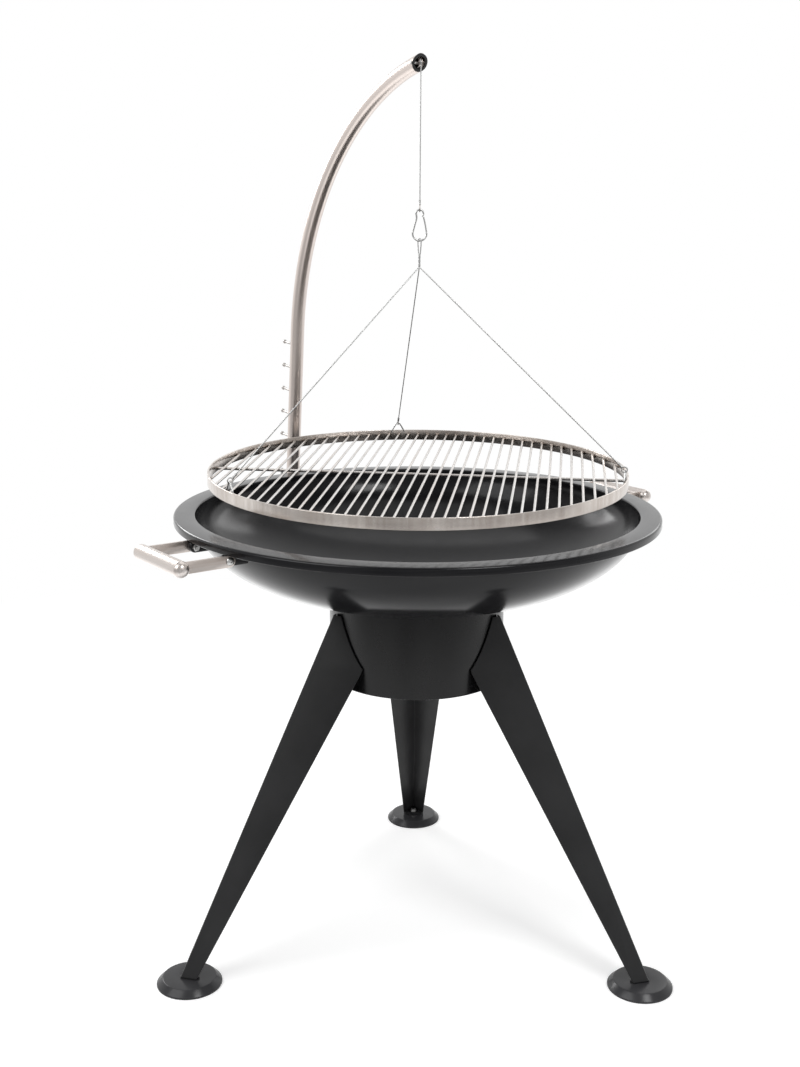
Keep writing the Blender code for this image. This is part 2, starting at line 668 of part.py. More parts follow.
def make_lift_cable(arm):
    """The cable over the roller, down inside the tube, out above the top pin, and its end ring."""
    over_roller = arc((ROLLER_PITCH_R, ROLLER_Z), ROLLER_PITCH_R, 180, 60, 8)
    points = [in_arm(radius, height) for radius, height in over_roller]
    points += [bend_point(angle) for angle in INSIDE_ANGLES]
    tail = TUBE_R + GAP + END_FERRULE_R
    hung = TOP_PIN_HEIGHT + END_RING_R - END_RING_WIRE_R - PIN_R - GAP
    ring_top = hung + END_RING_R + END_RING_WIRE_R
    for share, rise in WAY_OUT:
        points.append(Vector((tail * share, 0, EXIT_HEIGHT + EXIT_HALF_HEIGHT * rise)))
    points.append(Vector((tail, 0, CABLE_END_HEIGHT)))
    piece("lift_cable", wire_curve("lift_cable", points, CABLE_R), CABLE_STEEL, arm)

    ring = turned("cable_end_ring", ring_section(END_RING_R, END_RING_WIRE_R, 8), 16, ring=True)
    ferrule = rod("end_ferrule", END_FERRULE_R, END_RING_R, ring_top - hung + END_FERRULE_LENGTH, 10)
    ring_place = shift(x=tail, z=hung)
    ring.transform(turn(90, "Y"))
    made = combined("cable_end_ring", ring, [("UNION", ferrule, Matrix())])
    piece("cable_end_ring", made, CABLE_STEEL, arm, ring_place)


def make_hanging_cable(arm):
    """The free cable with its ferrule and eye. It swings at the roller."""
    place = arm_place().inverted() @ turn(ARM_AZIMUTH, "Z") @ shift(z=ROLLER_Z)
    swing = axis_empty("cable_axis", arm, place)
    wire_z = HOOK_TOP_Z - HOOK_WIRE_R
    eye_top = wire_z + EYE_HEIGHT
    ferrule_top = eye_top + GAP + FERRULE_LENGTH
    ends = [Vector((0, 0, -GAP)), Vector((0, 0, ferrule_top + GAP - ROLLER_Z))]
    piece("hanging_cable", wire_curve("hanging_cable", ends, CABLE_R), CABLE_STEEL, swing)
    ferrule = rod("cable_ferrule", FERRULE_R, 0, FERRULE_LENGTH, 12)
    piece("cable_ferrule", ferrule, CABLE_STEEL, swing, shift(z=eye_top + GAP - ROLLER_Z))
    level = turn(-ARM_AZIMUTH, "Z")
    hook = axis_empty("hook_axis", swing, shift(z=wire_z - ROLLER_Z) @ level)
    points = [Vector((0, EYE_NECK, EYE_HEIGHT)), Vector((0, EYE_BEND_R, EYE_SHOULDER))]
    points += [Vector((0, x, z)) for x, z in arc((0, 0), EYE_BEND_R, -20, -160, 6)]
    points += [Vector((0, -EYE_BEND_R, EYE_SHOULDER)), Vector((0, -EYE_NECK, EYE_HEIGHT))]
    piece("cable_eye", wire_curve("cable_eye", points, EYE_WIRE_R), CABLE_STEEL, hook)
    return hook


def make_snap_hook(hook):
    """A pear-shaped hook whose gate closes its right side. Z = 0 is the middle of its top wire."""
    top = (0, -HOOK_TOP_BEND_R)
    low = (0, top[1] - HOOK_BEND_SPACING)
    taper = math.degrees(math.asin((HOOK_LOW_BEND_R - HOOK_TOP_BEND_R) / HOOK_BEND_SPACING))
    path = arc(top, HOOK_TOP_BEND_R, NOSE_ANGLE, 180 - taper, 9)
    path += arc(low, HOOK_LOW_BEND_R, 180 - taper, 360 + GATE_END_ANGLE, 10)
    points = [Vector((x, 0, z)) for x, z in path]
    piece("snap_hook", wire_curve("snap_hook", points, HOOK_WIRE_R), POLISHED_STEEL, hook)
    hinge = points[-1] + Vector((0, 0, GATE_HINGE_GAP))
    gate = axis_empty("gate_axis", hook, Matrix.Translation(hinge))
    ends = [Vector((0, 0, 0)), GATE_TIP - hinge]
    piece("hook_gate", wire_curve("hook_gate", ends, GATE_R), POLISHED_STEEL, gate)


def make_suspension(grate):
    """The loop in the hook with its sleeve. Z = 0 is the sleeve's underside."""
    inside = HOOK_TOP_Z - HOOK_TOP_BEND_R - HOOK_BEND_SPACING - HOOK_LOW_BEND_R
    crown = inside + GAP + LOOP_WIRE_R + LOOP_SLACK - JUNCTION_Z
    centre = crown - LOOP_BEND_R
    neck = SLEEVE_LENGTH - WELD_DEPTH
    path = [(LOOP_NECK, neck), (LOOP_SHOULDER, centre - LOOP_BEND_R)]
    path += arc((0, centre), LOOP_BEND_R, 0, 180, 6)
    path += [(-LOOP_SHOULDER, centre - LOOP_BEND_R), (-LOOP_NECK, neck)]
    loop = wire_mesh("loop", [Vector((0, x, z)) for x, z in path], LOOP_WIRE_R)
    sleeve = rod("suspension_loop", SLEEVE_R, 0, SLEEVE_LENGTH, 12)
    made = combined("suspension_loop", sleeve, [("UNION", loop, Matrix())])
    piece("suspension_loop", made, CABLE_STEEL, grate, turn(LOOP_TURN, "Z"))


def grate_wire(index, azimuth, level):
    """A straight wire from the sleeve to a bail, with its mesh in a frame whose Z runs up the wire."""
    spoke = turn(azimuth, "Z")
    bail_r = HOOP_CLEAR_R - BAIL_WIRE_R
    apex = level @ spoke @ Vector((bail_r, 0, BAIL_RISE))
    start = spoke @ Vector((WIRE_START_R, 0, -GAP - WIRE_START_DROP))
    along = (start - apex).normalized()
    eye = apex + along * (WIRE_EYE_R - CABLE_R - BAIL_WIRE_R - GAP)
    across = (spoke.to_3x3() @ Vector((0, 1, 0)))
    across = (across - along * across.dot(along)).normalized()
    place = Matrix((across.cross(along), across, along)).transposed().to_4x4()
    place.translation = eye
    ring = turned("wire_eye", ring_section(WIRE_EYE_R, CABLE_R, 6), 12, ring=True)
    ring.transform(turn(90, "X"))
    low = WIRE_EYE_R
    high = low + WIRE_FERRULE_LENGTH
    top = (start - eye).length
    outline = [(0, top), (CABLE_R, top), (CABLE_R, high), (WIRE_FERRULE_R, high), (WIRE_FERRULE_R, low)]
    stem = turned("wire_stem", outline + [(0, low)], 8)
    return combined("grate_wire_%d" % index, stem, [("UNION", ring, Matrix())]), place


def make_grate(hook):
    drop = JUNCTION_Z - HOOK_TOP_Z + HOOK_WIRE_R
    grate = axis_empty("grate_axis", hook, shift(z=drop))
    make_suspension(grate)
    level = shift(z=HOOP_TOP_Z - JUNCTION_Z) @ turn(GRATE_TILT, "X")
    for index, azimuth in enumerate(WIRE_AZIMUTHS, 1):
        mesh, place = grate_wire(index, azimuth, level)
        piece("grate_wire_%d" % index, mesh, CABLE_STEEL, grate, place)

    tilted = axis_empty("grate_tilt", grate, level)
    inner = HOOP_R - HOOP_T
    outline = [(inner, 0), (HOOP_R, 0), (HOOP_R, -HOOP_H), (inner, -HOOP_H)]
    piece("grate_hoop", turned("grate_hoop", outline, HOOP_SEGMENTS, ring=True), POLISHED_STEEL, tilted)
    piece("grate_rods", grate_rods_mesh(), POLISHED_STEEL, tilted, turn(ROD_AZIMUTH, "Z"))
    half = BAIL_WIDTH / 2
    path = [(half, -BAIL_LEG)] + [(x * half, z * BAIL_RISE) for x, z in arc((0, 0), 1, 0, 180, 8)]
    path += [(-half, -BAIL_LEG)]
    bail = wire_curve("grate_bail", [Vector((0, x, z)) for x, z in path], BAIL_WIRE_R, 1)
    for index, azimuth in enumerate(WIRE_AZIMUTHS, 1):
        place = turn(azimuth, "Z") @ shift(x=HOOP_CLEAR_R - BAIL_WIRE_R)
        piece("grate_bail_%d" % index, bail, POLISHED_STEEL, tilted, place)


def grate_rods_mesh():
    """Parallel rods along X, as long as the hoop allows, on one cross bar under them."""
    count = int((HOOP_CLEAR_R - ROD_R) / ROD_PITCH)
    bm = bmesh.new()
    for index in range(-count, count + 1):
        y = index * ROD_PITCH
        half = math.sqrt(HOOP_CLEAR_R ** 2 - (abs(y) + ROD_R) ** 2)
        place = shift(y=y, z=-ROD_DROP) @ turn(90, "Y")
        bmesh.ops.create_cone(
            bm, cap_ends=True, segments=6, radius1=ROD_R, radius2=ROD_R, depth=2 * half, matrix=place
        )
    rods = finished(bm, "grate_rods")
    half = math.sqrt(HOOP_CLEAR_R ** 2 - CROSS_BAR_R ** 2)
    bar = rod("cross_bar", CROSS_BAR_R, -half, half, 8)
    place = shift(z=-ROD_DROP - ROD_R - CROSS_BAR_R + WELD_DEPTH) @ turn(90, "X")
    return combined("grate_rods", rods, [("UNION", bar, place)])


def strap_mesh():
    """A strap in XZ: round about the pivot, hollowed to the grip at its far end."""
    half = STRAP_H / 2
    seat = GRIP_R + GAP
    seat_angle = math.degrees(math.asin(half / seat))
    outline = arc((0, 0), half, 90, 270, 8)
    outline += arc((HANDLE_REACH, 0), seat, 180 + seat_angle, 180 - seat_angle, 6)
    bore = rod("strap_bore", PIVOT_BOLT_R + GAP, -STRAP_T, STRAP_T, 12)
    strap = extruded("handle_strap", outline, STRAP_T)
    return combined("handle_strap", strap, [("DIFFERENCE", bore, turn(90, "X"))])


def lug_mesh(azimuth, offset, name):
    """A lug in XZ, rounded about the pivot and cut to the bowl's wall."""
    outline = [(-LUG_ROOT, LUG_R), (-LUG_ROOT, -LUG_R)] + arc((0, 0), LUG_R, -90, 90, 8)
    bore = rod("lug_bore", PIVOT_BOLT_R + GAP, -LUG_T, LUG_T, 12)
    place = turn(azimuth, "Z") @ shift(x=HANDLE_PIVOT_R, y=offset, z=HANDLE_PIVOT_Z)
    tools = [("DIFFERENCE", bowl_clearance(), place.inverted()), ("DIFFERENCE", bore, turn(90, "X"))]
    return combined(name, extruded(name, outline, LUG_T), tools), place


def make_handles(grill):
    strap = strap_mesh()
    dome_z = GRIP_LENGTH / 2 - GRIP_DOME
    upper = [(0, GRIP_LENGTH / 2)]
    upper += [(x * GRIP_R, dome_z + z * GRIP_DOME) for x, z in arc((0, 0), 1, 75, 0, 5)]
    grip = turned("handle_grip", upper + [(radius, -z) for radius, z in upper[::-1]], 20)
    outer = STRAP_Y + STRAP_T / 2
    lug_y = STRAP_Y - STRAP_T / 2 - GAP - LUG_T / 2
    nut_y = lug_y - LUG_T / 2 - GAP - PIVOT_NUT_H
    shank = outer + GAP - nut_y + PIVOT_BOLT_TAIL
    crown_r, crown_h = PIVOT_HEAD_CROWN
    outline = [(0, PIVOT_HEAD_H), (PIVOT_HEAD_R * crown_r, PIVOT_HEAD_H * crown_h), (PIVOT_HEAD_R, 0)]
    outline += [(PIVOT_BOLT_R, 0), (PIVOT_BOLT_R, -shank), (0, -shank)]
    bolt = turned("handle_bolt", outline, 12)
    nut = hex_nut("handle_nut", PIVOT_NUT_AF_R, PIVOT_NUT_H, PIVOT_BOLT_R + GAP)
    for side, azimuth in HANDLE_AZIMUTHS.items():
        pivot = turn(azimuth, "Z") @ shift(x=HANDLE_PIVOT_R, z=HANDLE_PIVOT_Z)
        handle = axis_empty("handle_%s_axis" % side, grill, pivot)
        grip_place = shift(x=HANDLE_REACH) @ turn(90, "X")
        piece("handle_grip_" + side, grip, POLISHED_STEEL, handle, grip_place)
        for end, sign in (("a", 1), ("b", -1)):
            label = side + "_" + end
            piece("handle_strap_" + label, strap, POLISHED_STEEL, handle, shift(y=sign * STRAP_Y))
            lug, place = lug_mesh(azimuth, sign * lug_y, "handle_lug_" + label)
            piece("handle_lug_" + label, lug, BLACK_ENAMEL, grill, place)
            outward = turn(-90 * sign, "X")
            piece("handle_bolt_" + label, bolt, ZINC, grill, pivot @ shift(y=sign * (outer + GAP)) @ outward)
            piece("handle_nut_" + label, nut, ZINC, grill, pivot @ shift(y=sign * nut_y) @ outward)


def main():
    for old in list(bpy.data.objects):
        bpy.data.objects.remove(old)
    grill = axis_empty("grill_axis", None, shift(y=GRILL_Y))
    make_bowl_and_base(grill)
    make_legs(grill)
    make_socket(grill)
    arm = make_arm(grill)
    hook = make_hanging_cable(arm)
    make_snap_hook(hook)
    make_grate(hook)
    make_handles(grill)


main()
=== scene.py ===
"""Looks of the tripod swing grill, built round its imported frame.

Metres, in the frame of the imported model. The grill's axis is at GRILL_Y, and azimuths count from +X.
"""

import json
from math import acos, asin, atan2, cos, degrees, pi, radians, sin, sqrt, tan, tau

import bmesh
import bpy
from mathutils import Matrix, Vector


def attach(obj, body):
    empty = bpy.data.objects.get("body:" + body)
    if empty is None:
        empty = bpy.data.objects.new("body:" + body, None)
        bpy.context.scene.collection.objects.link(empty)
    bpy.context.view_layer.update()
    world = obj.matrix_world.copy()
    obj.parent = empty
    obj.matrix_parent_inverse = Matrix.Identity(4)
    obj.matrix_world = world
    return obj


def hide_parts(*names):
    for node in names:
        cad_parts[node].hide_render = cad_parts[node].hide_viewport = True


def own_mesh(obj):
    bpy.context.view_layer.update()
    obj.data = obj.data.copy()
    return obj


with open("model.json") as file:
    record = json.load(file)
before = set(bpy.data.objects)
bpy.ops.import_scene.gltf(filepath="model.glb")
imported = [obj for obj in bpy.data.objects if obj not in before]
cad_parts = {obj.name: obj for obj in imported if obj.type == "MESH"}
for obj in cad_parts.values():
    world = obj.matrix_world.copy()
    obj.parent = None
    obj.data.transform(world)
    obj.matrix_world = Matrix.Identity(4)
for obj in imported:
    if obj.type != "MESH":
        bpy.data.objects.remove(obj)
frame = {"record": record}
scene = bpy.context.scene
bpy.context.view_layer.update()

# Camera, fitted to the photograph
IMAGE_HEIGHT = 1067
FOCAL_PIXELS = 1360.93
SENSOR = 36.0
CAMERA_PLACE = Vector((-0.0166, -2.24905, 1.21379))
YAW, PITCH, ROLL = -0.00545, 0.22609, -0.00519
CLIP = (0.05, 100)

# Clearance between pieces that touch, and place of the grill's axis
GAP = 0.0003
GRILL_Y = -0.0383

# Fire bowl
RIM_R = 0.400
RIM_TOP_Z = 0.7485
LIP_DROP = 0.013
LIP_ROUND_R = 0.004
BOWL_WALL = 0.0025
BOWL_R = 0.3675
BOWL_DEPTH = 0.154
BOWL_FLAT_R = 0.066
FLANGE_Z = RIM_TOP_Z - BOWL_WALL
LIP_BOTTOM_Z = RIM_TOP_Z - LIP_DROP

# Base drum and the bolt that holds the bowl on it
DRUM_R = 0.1465
DRUM_WALL = 0.002
DRUM_BOTTOM_Z = 0.4646
DRUM_LIP = 0.012
PLATE_T = 0.003
BOWL_BOLT_R = 0.006
BOWL_BOLT_LENGTH = 0.024
BOWL_HEX_R = 0.011
WASHER_R = 0.014
WASHER_T = 0.0025
HEX_HEIGHT = 0.0075

# Hexagons, in shares of their radius
HEX_TRIM = 0.985
HEX_CHAMFER = 0.16
HEX_CHAMFER_FALL = 0.096

# Legs and feet
LEG_AZIMUTHS = {"rear": 90.0, "left": 210.0, "right": 330.0}
LEG_SHEET = 0.0025
LEG_FOLD_R = 0.0035
LEG_EDGE_R = 0.0007
RIDGE_TOP_SETBACK = 0.012
RIDGE_TOP_DROP = 0.020
RIDGE_FOOT_R = 0.4405
FLANGE_FOOT = 0.0285
FLANGE_TOP = 0.0962
FOOT_CIRCLE_R = 0.4237
FOOT_R = 0.0529
FOOT_TOP_R = 0.0433
FOOT_H = 0.0123
FOOT_EDGE_H = 0.003
LEG_PLATE_T = 0.003
FOOT_BOLT_R = 0.003
FOOT_BOLT_DEPTH = 0.007
FOOT_HEX_R = 0.0058
FOOT_HEX_HEIGHT = 0.004
FOOT_WASHER_R = 0.0065
FOOT_WASHER_T = 0.0015
LEG_FINE_STEP = 0.0065
LEG_FINE_STEPS = 16
LEG_STEP = 0.14
FOLD_SLOPE = sqrt(0.5)

# Swinging arm
ARM_AZIMUTH = 124.0
ARM_LEAN = 5.08
SOCKET_FOOT_Z = 0.610
LEAN_SLOPE = tan(radians(ARM_LEAN))
ARM_FOOT_R = 0.421 + 0.140 * LEAN_SLOPE
TUBE_R = 0.0125
TUBE_WALL = 0.002
STRAIGHT_LENGTH = 0.403
BEND_R = 0.494
BEND_ANGLE = 73.52
BEND_STEPS = 72
STRAIGHT_STATIONS = (0.0, 0.1, 0.2, 0.3, 0.36, 0.39)
TUBE_SIDES = 48
BORE_OVER = 0.001
BORE_REACH = 0.03
TIP_FACE_R = 0.0042
CAP_INNER_R = 0.0095
CAP_OUTER_R = 0.0140
CAP_T = 0.0015
TIP_FACE_TILT = 20.0

# Socket, gusset and clamp screw
SOCKET_LENGTH = 0.1325
SOCKET_R = 0.016
SOCKET_STOP_T = 0.004
GUSSET_T = 0.005
GUSSET_FOOT_RISE = 0.030
GUSSET_TOP_DROP = 0.004
GUSSET_TOP_INSET = 0.030
GUSSET_NOSE_INSET = 0.0775
GUSSET_NOSE_RISE = 0.015
CLAMP_HEIGHT = 0.1054
CLAMP_TURN = 26.0
SCREW_R = 0.003
BOSS_R = 0.007
BOSS_REACH = 0.0205
SCREW_REACH = 0.026
COLLAR_R = 0.0055
COLLAR_LENGTH = 0.006
T_BAR_R = 0.0025
T_BAR_LENGTH = 0.066

# Height pins
PIN_COUNT = 5
PIN_PITCH = 0.0442
TOP_PIN_HEIGHT = 0.3775
PIN_R = 0.00225
PIN_HEAD_R = 0.004
PIN_REACH = 0.050
PIN_WELD_T = 0.0008
PIN_WELD_H = 0.0012

# Cable and roller
CABLE_R = 0.001
ROLLER_PITCH_R = 0.008
ROLLER_Z = 1.4515
ROLLER_RIM_R = 0.0088
ROLLER_WIDTH = 0.007
ROLLER_FLANGE_T = 0.0008
ROLLER_GROOVE_HALF = 0.0012
ROLLER_PIN_R = 0.0025
ROLLER_PIN_LENGTH = 0.029
EXIT_HEIGHT = 0.4115
EXIT_HALF_HEIGHT = 0.010
EXIT_HALF_WIDTH = 0.003
END_RING_R = 0.0053
END_RING_WIRE_R = 0.001
END_FERRULE_R = 0.002
END_FERRULE_LENGTH = 0.0075
CABLE_ANGLES = (70, 63, 56, 49, 42, 35, 28, 21, 14, 8)
CABLE_EXIT = ((0.0676, 3.45), (0.2838, 1.95), (0.5743, 0.75), (0.8311, -0.2), (0.9595, -1.0))
CABLE_STEP = 0.001
STRANDS = 6
STRAND_SIDES = 18
STRAND_DEPTH = 0.03
LAY_LENGTH = 0.012
CRIMP = ((0.0, 0.78), (0.05, 0.94), (0.12, 1.0), (0.24, 1.0), (0.30, 0.88), (0.40, 0.88), (0.46, 1.0))

# Snap hook with the cable's ferrule and eye. Shown radii are shares of the solids' ones
HOOK_TOP_Z = 1.232
HOOK_WIRE_R = 0.0015
HOOK_TOP_BEND_R = 0.0058
HOOK_LOW_BEND_R = 0.011
HOOK_BEND_SPACING = 0.0312
HOOK_NECK = [(-0.0050, -0.0110), (-0.0054, -0.0150), (-0.0070, -0.0205), (-0.0088, -0.0270)]
GATE_END_ANGLE = 5.0
GATE_R = 0.0013
GATE_HINGE_GAP = 0.0006
GATE_BOW = 0.0004
GATE_TIP = Vector((0.0060, 0.0, -0.0112))
EYE_WIRE_R = 0.0008
EYE_BEND_R = 0.0030
EYE_HEIGHT = 0.0073
EYE_SIDE = [(0.0010, EYE_HEIGHT), (0.0022, 0.0042), (EYE_BEND_R, 0.0013)]
EYE_SHOWN = 1.3
FERRULE_R = 0.0022
FERRULE_LENGTH = 0.0082
FERRULE_SHOWN = 0.8

# Loop, sleeve and grate wires
JUNCTION_Z = 1.141
SLEEVE_R = 0.0025
SLEEVE_LENGTH = 0.020
SLEEVE_SHOWN = 0.74
LOOP_WIRE_R = 0.001
LOOP_BEND_R = 0.004
LOOP_SEAT = 0.0005
LOOP_TURN = 40.0
WIRE_AZIMUTHS = (96.0, 212.0, 346.0)
WIRE_START_R = 0.0018
WIRE_START_DROP = 0.0008
WIRE_EYE_R = 0.0045
WIRE_FERRULE_R = 0.002
WIRE_FERRULE_LENGTH = 0.010
WIRE_NECK = 0.0008
WIRE_STEPS = 440

# Grate
HOOP_R = 0.344
HOOP_T = 0.003
HOOP_H = 0.019
HOOP_TOP_Z = 0.8175
HOOP_EDGE = 0.0007
GRATE_TILT = 1.8
ROD_R = 0.002
ROD_PITCH = 0.018
ROD_DROP = 0.0085
ROD_AZIMUTH = 83.4
CROSS_BAR_R = 0.0025
WELD_DEPTH = 0.001
WELD_R = 0.0034
WELD_RISE = 0.45
BAIL_WIRE_R = 0.0014
BAIL_WIDTH = 0.022
BAIL_RISE = 0.014
BAIL_LEG = 0.0055
BAIL_SHAPE = ((0.97, 0.0), (0.60, 0.52), (0.22, 0.93))
HOOP_CLEAR_R = (HOOP_R - HOOP_T) * cos(pi / 60) - GAP

# Handles
HANDLE_AZIMUTHS = {"right": 36.4, "left": 216.4}
HANDLE_PIVOT_R = 0.388
HANDLE_REACH = 0.081
STRAP_H = 0.018
STRAP_T = 0.004
STRAP_Y = 0.060
HANDLE_PIVOT_Z = LIP_BOTTOM_Z - 0.0005 - STRAP_H / 2
LUG_T = 0.0115
LUG_R = 0.0085
LUG_ROOT = 0.033
PIVOT_BOLT_R = 0.003
PIVOT_HEAD_R = 0.0065
PIVOT_HEAD_H = 0.004
PIVOT_NUT_AF_R = 0.0058
PIVOT_NUT_H = 0.005
PIVOT_BOLT_TAIL = 0.002
KEY_SOCKET_R = 0.0023
GRIP_R = 0.0125
GRIP_LENGTH = 0.150
GRIP_DOME = 0.0115

# Looks
WARM = (1.0, 0.93, 0.88)
NEUTRAL = (1, 1, 1)
ASH = (0.12, 0.115, 0.11)
HEAT_BROWN = (0.16, 0.125, 0.10)
HEAT_BAND = 0.007
ENAMEL_SPECULAR = 0.24

# Floor and world
FLOOR_R = 40
FLOOR_WHITE = (0.82, 0.82, 0.82)
FLOOR_LIFT = 0.36
WORLD_LIGHT = 0.38
PATCH_LOW = 0.36
PATCH_HIGH = 0.85
BACK_LIGHT = 1.15
TOP_DIM = 0.35

# Lamps: place, height aimed at on the frame's axis, size and power
LAMPS = {
    "key_softbox": ((-2.4, -1.6, 3.0), 0.7, 2.4, 60),
    "fill_softbox": ((1.25, -1.97, 2.85), 0.7, 1.0, 34),
    "top_softbox": ((0.2, 0.8, 3.6), 0.6, 2.8, 28),
    "left_back_softbox": ((-2.06, 2.13, 2.04), 0.8, 1.1, 30),
    "right_back_softbox": ((1.6, 2.3, 1.95), 0.8, 1.1, 8),
}

# Kinds of node in each slot
KINDS = {
    "bowl": "fire_bowl", "drum": "base_drum drum_plate", "legs": "leg", "feet": "foot",
    "fasteners": "bowl_bolt bowl_nut foot_bolt arm_clamp_screw handle_bolt handle_nut roller_pin",
    "socket": "arm_socket socket_gusset", "handles": "handle_grip handle_strap", "lugs": "handle_lug",
    "arm": "arm_tube height_pin", "end_cap": "arm_end_cap", "roller": "tip_roller",
    "cable": "lift_cable cable_end_ring hanging_cable cable_ferrule cable_eye suspension_loop grate_wire",
    "hook": "snap_hook hook_gate", "grate": "grate_bail grate_hoop grate_rods",
}
SLOTS = {kind: slot for slot, kinds in KINDS.items() for kind in kinds.split()}


def shift(x=0.0, y=0.0, z=0.0):
    return Matrix.Translation((x, y, z))


def turn(angle, axis):
    return Matrix.Rotation(radians(angle), 4, axis)


def polar(radius, angle):
    return radius * cos(radians(angle)), radius * sin(radians(angle))


def arc(centre, radius, start, end, steps):
    """Points of an arc in a plane, from one angle to another."""
    points = []
    for step in range(steps + 1):
        x, y = polar(radius, start + (end - start) * step / steps)
        points.append((centre[0] + x, centre[1] + y))
    return points


def rounded(corners, steps=4):
    """An outline whose corners, given as (x, y, radius), are rounded."""
    points = []
    for i, (x, y, radius) in enumerate(corners):
        if radius == 0:
            points.append((x, y))
            continue
        corner = Vector((x, y))
        before = Vector(corners[i - 1][:2]) - corner
        after = Vector(corners[(i + 1) % len(corners)][:2]) - corner
        half = before.angle(after) / 2
        reach = min(radius / tan(half), before.length / 2, after.length / 2)
        before.normalize()
        after.normalize()
        centre = corner + (before + after).normalized() * reach / cos(half)
        first = corner + before * reach - centre
        second = corner + after * reach - centre
        start = degrees(atan2(first.y, first.x))
        sweep = (degrees(atan2(second.y, second.x)) - start + 180) % 360 - 180
        points += arc(centre, first.length, start, start + sweep, steps)
    return points


def spline(points, per):
    """A smooth line through points, with the same number of steps between each two."""
    points = [Vector(point) for point in points]
    padded = [2 * points[0] - points[1]] + points + [2 * points[-1] - points[-2]]
    made = []
    for i in range(1, len(padded) - 2):
        a, b, c, d = padded[i - 1:i + 3]
        for step in range(per):
            t = step / per
            bent = (c - a) * t + (2 * a - 5 * b + 4 * c - d) * t * t + (3 * b - a - 3 * c + d) * t ** 3
            made.append(0.5 * (2 * b + bent))
    return made + [points[-1]]


def evened(points, step):
    """The same line with its points an even step apart."""
    points = [Vector(point) for point in points]
    lengths = [0.0]
    for a, b in zip(points, points[1:]):
        lengths.append(lengths[-1] + (b - a).length)
    count = max(2, round(lengths[-1] / step))
    made = []
    i = 0
    for k in range(count + 1):
        goal = lengths[-1] * k / count
        while i < len(points) - 2 and lengths[i + 1] < goal:
            i += 1
        share = (goal - lengths[i]) / max(lengths[i + 1] - lengths[i], 1e-9)
        made.append(points[i].lerp(points[i + 1], min(1.0, share)))
    return made


def smoothed(mesh, angle):
    """The same mesh, smooth but for edges sharper than an angle."""
    mesh.shade_smooth()
    mesh.set_sharp_from_angle(angle=radians(angle))
    return mesh


def finished(bm, angle=38):
    """Turns a bmesh into a mesh with its faces outward and its round faces smooth."""
    bmesh.ops.recalc_face_normals(bm, faces=bm.faces)
    mesh = bpy.data.meshes.new("shape")
    bm.to_mesh(mesh)
    bm.free()
    return smoothed(mesh, angle)


def lathe(outline, segments, ring=False):
    """Turns an outline of (radius, height) points about Z. A ring's outline closes on itself."""
    bm = bmesh.new()
    columns = []
    for radius, height in outline:
        if radius < 1e-7:
            columns.append([bm.verts.new((0, 0, height))] * segments)
            continue
        spots = [polar(radius, 360 * i / segments) for i in range(segments)]
        columns.append([bm.verts.new((x, y, height)) for x, y in spots])
    following = columns[1:] + (columns[:1] if ring else [])
    for first, second in zip(columns, following):
        for i in range(segments):
            j = (i + 1) % segments
            corners = list(dict.fromkeys((first[i], first[j], second[j], second[i])))
            if len(corners) > 2:
                bm.faces.new(corners)
    return finished(bm)


def rod(radius, low, high, sides, edge=0.0):
    """A straight bar along Z between two heights, with its ends eased."""
    corners = [(0, high, 0), (radius, high, edge), (radius, low, edge), (0, low, 0)]
    return lathe(rounded(corners, 3), sides)


def plate(outline, thickness, edge):
    """A plate whose outline lies in XZ, centred on Y = 0, with its edges eased."""
    bm = bmesh.new()
    face = bm.faces.new([bm.verts.new((x, -thickness / 2, z)) for x, z in outline])
    far = bmesh.ops.extrude_face_region(bm, geom=[face])["geom"]
    moved = [item for item in far if isinstance(item, bmesh.types.BMVert)]
    bmesh.ops.translate(bm, verts=moved, vec=(0, thickness, 0))
    bmesh.ops.recalc_face_normals(bm, faces=bm.faces)
    sharp = [e for e in bm.edges if e.calc_face_angle(0) > radians(50)]
    bmesh.ops.bevel(bm, geom=sharp, offset=edge, segments=2, profile=0.5, affect="EDGES")
    return finished(bm, 50)


def placed(name, data, place=None):
    """An object in the scene, which gives its name to data that is new."""
    if not data.users:
        data.name = name
    made = bpy.data.objects.new(name, data)
    scene.collection.objects.link(made)
    made.matrix_world = place or Matrix()
    return made


def combined(base, *tools, angle=30):
    """Joins or cuts a mesh with others, each given as (operation, mesh) or (operation, mesh, place)."""
    work = placed("work", base)
    made = [work]
    for operation, mesh, *place in tools:
        made.append(placed("tool", mesh, *place))
        boolean = work.modifiers.new("combine", "BOOLEAN")
        boolean.operation = operation
        boolean.object = made[-1]
        boolean.solver = "EXACT"
    bpy.context.view_layer.update()
    mesh = bpy.data.meshes.new_from_object(work.evaluated_get(bpy.context.evaluated_depsgraph_get()))
    for each in made:
        bpy.data.objects.remove(each)
    return smoothed(mesh, angle)


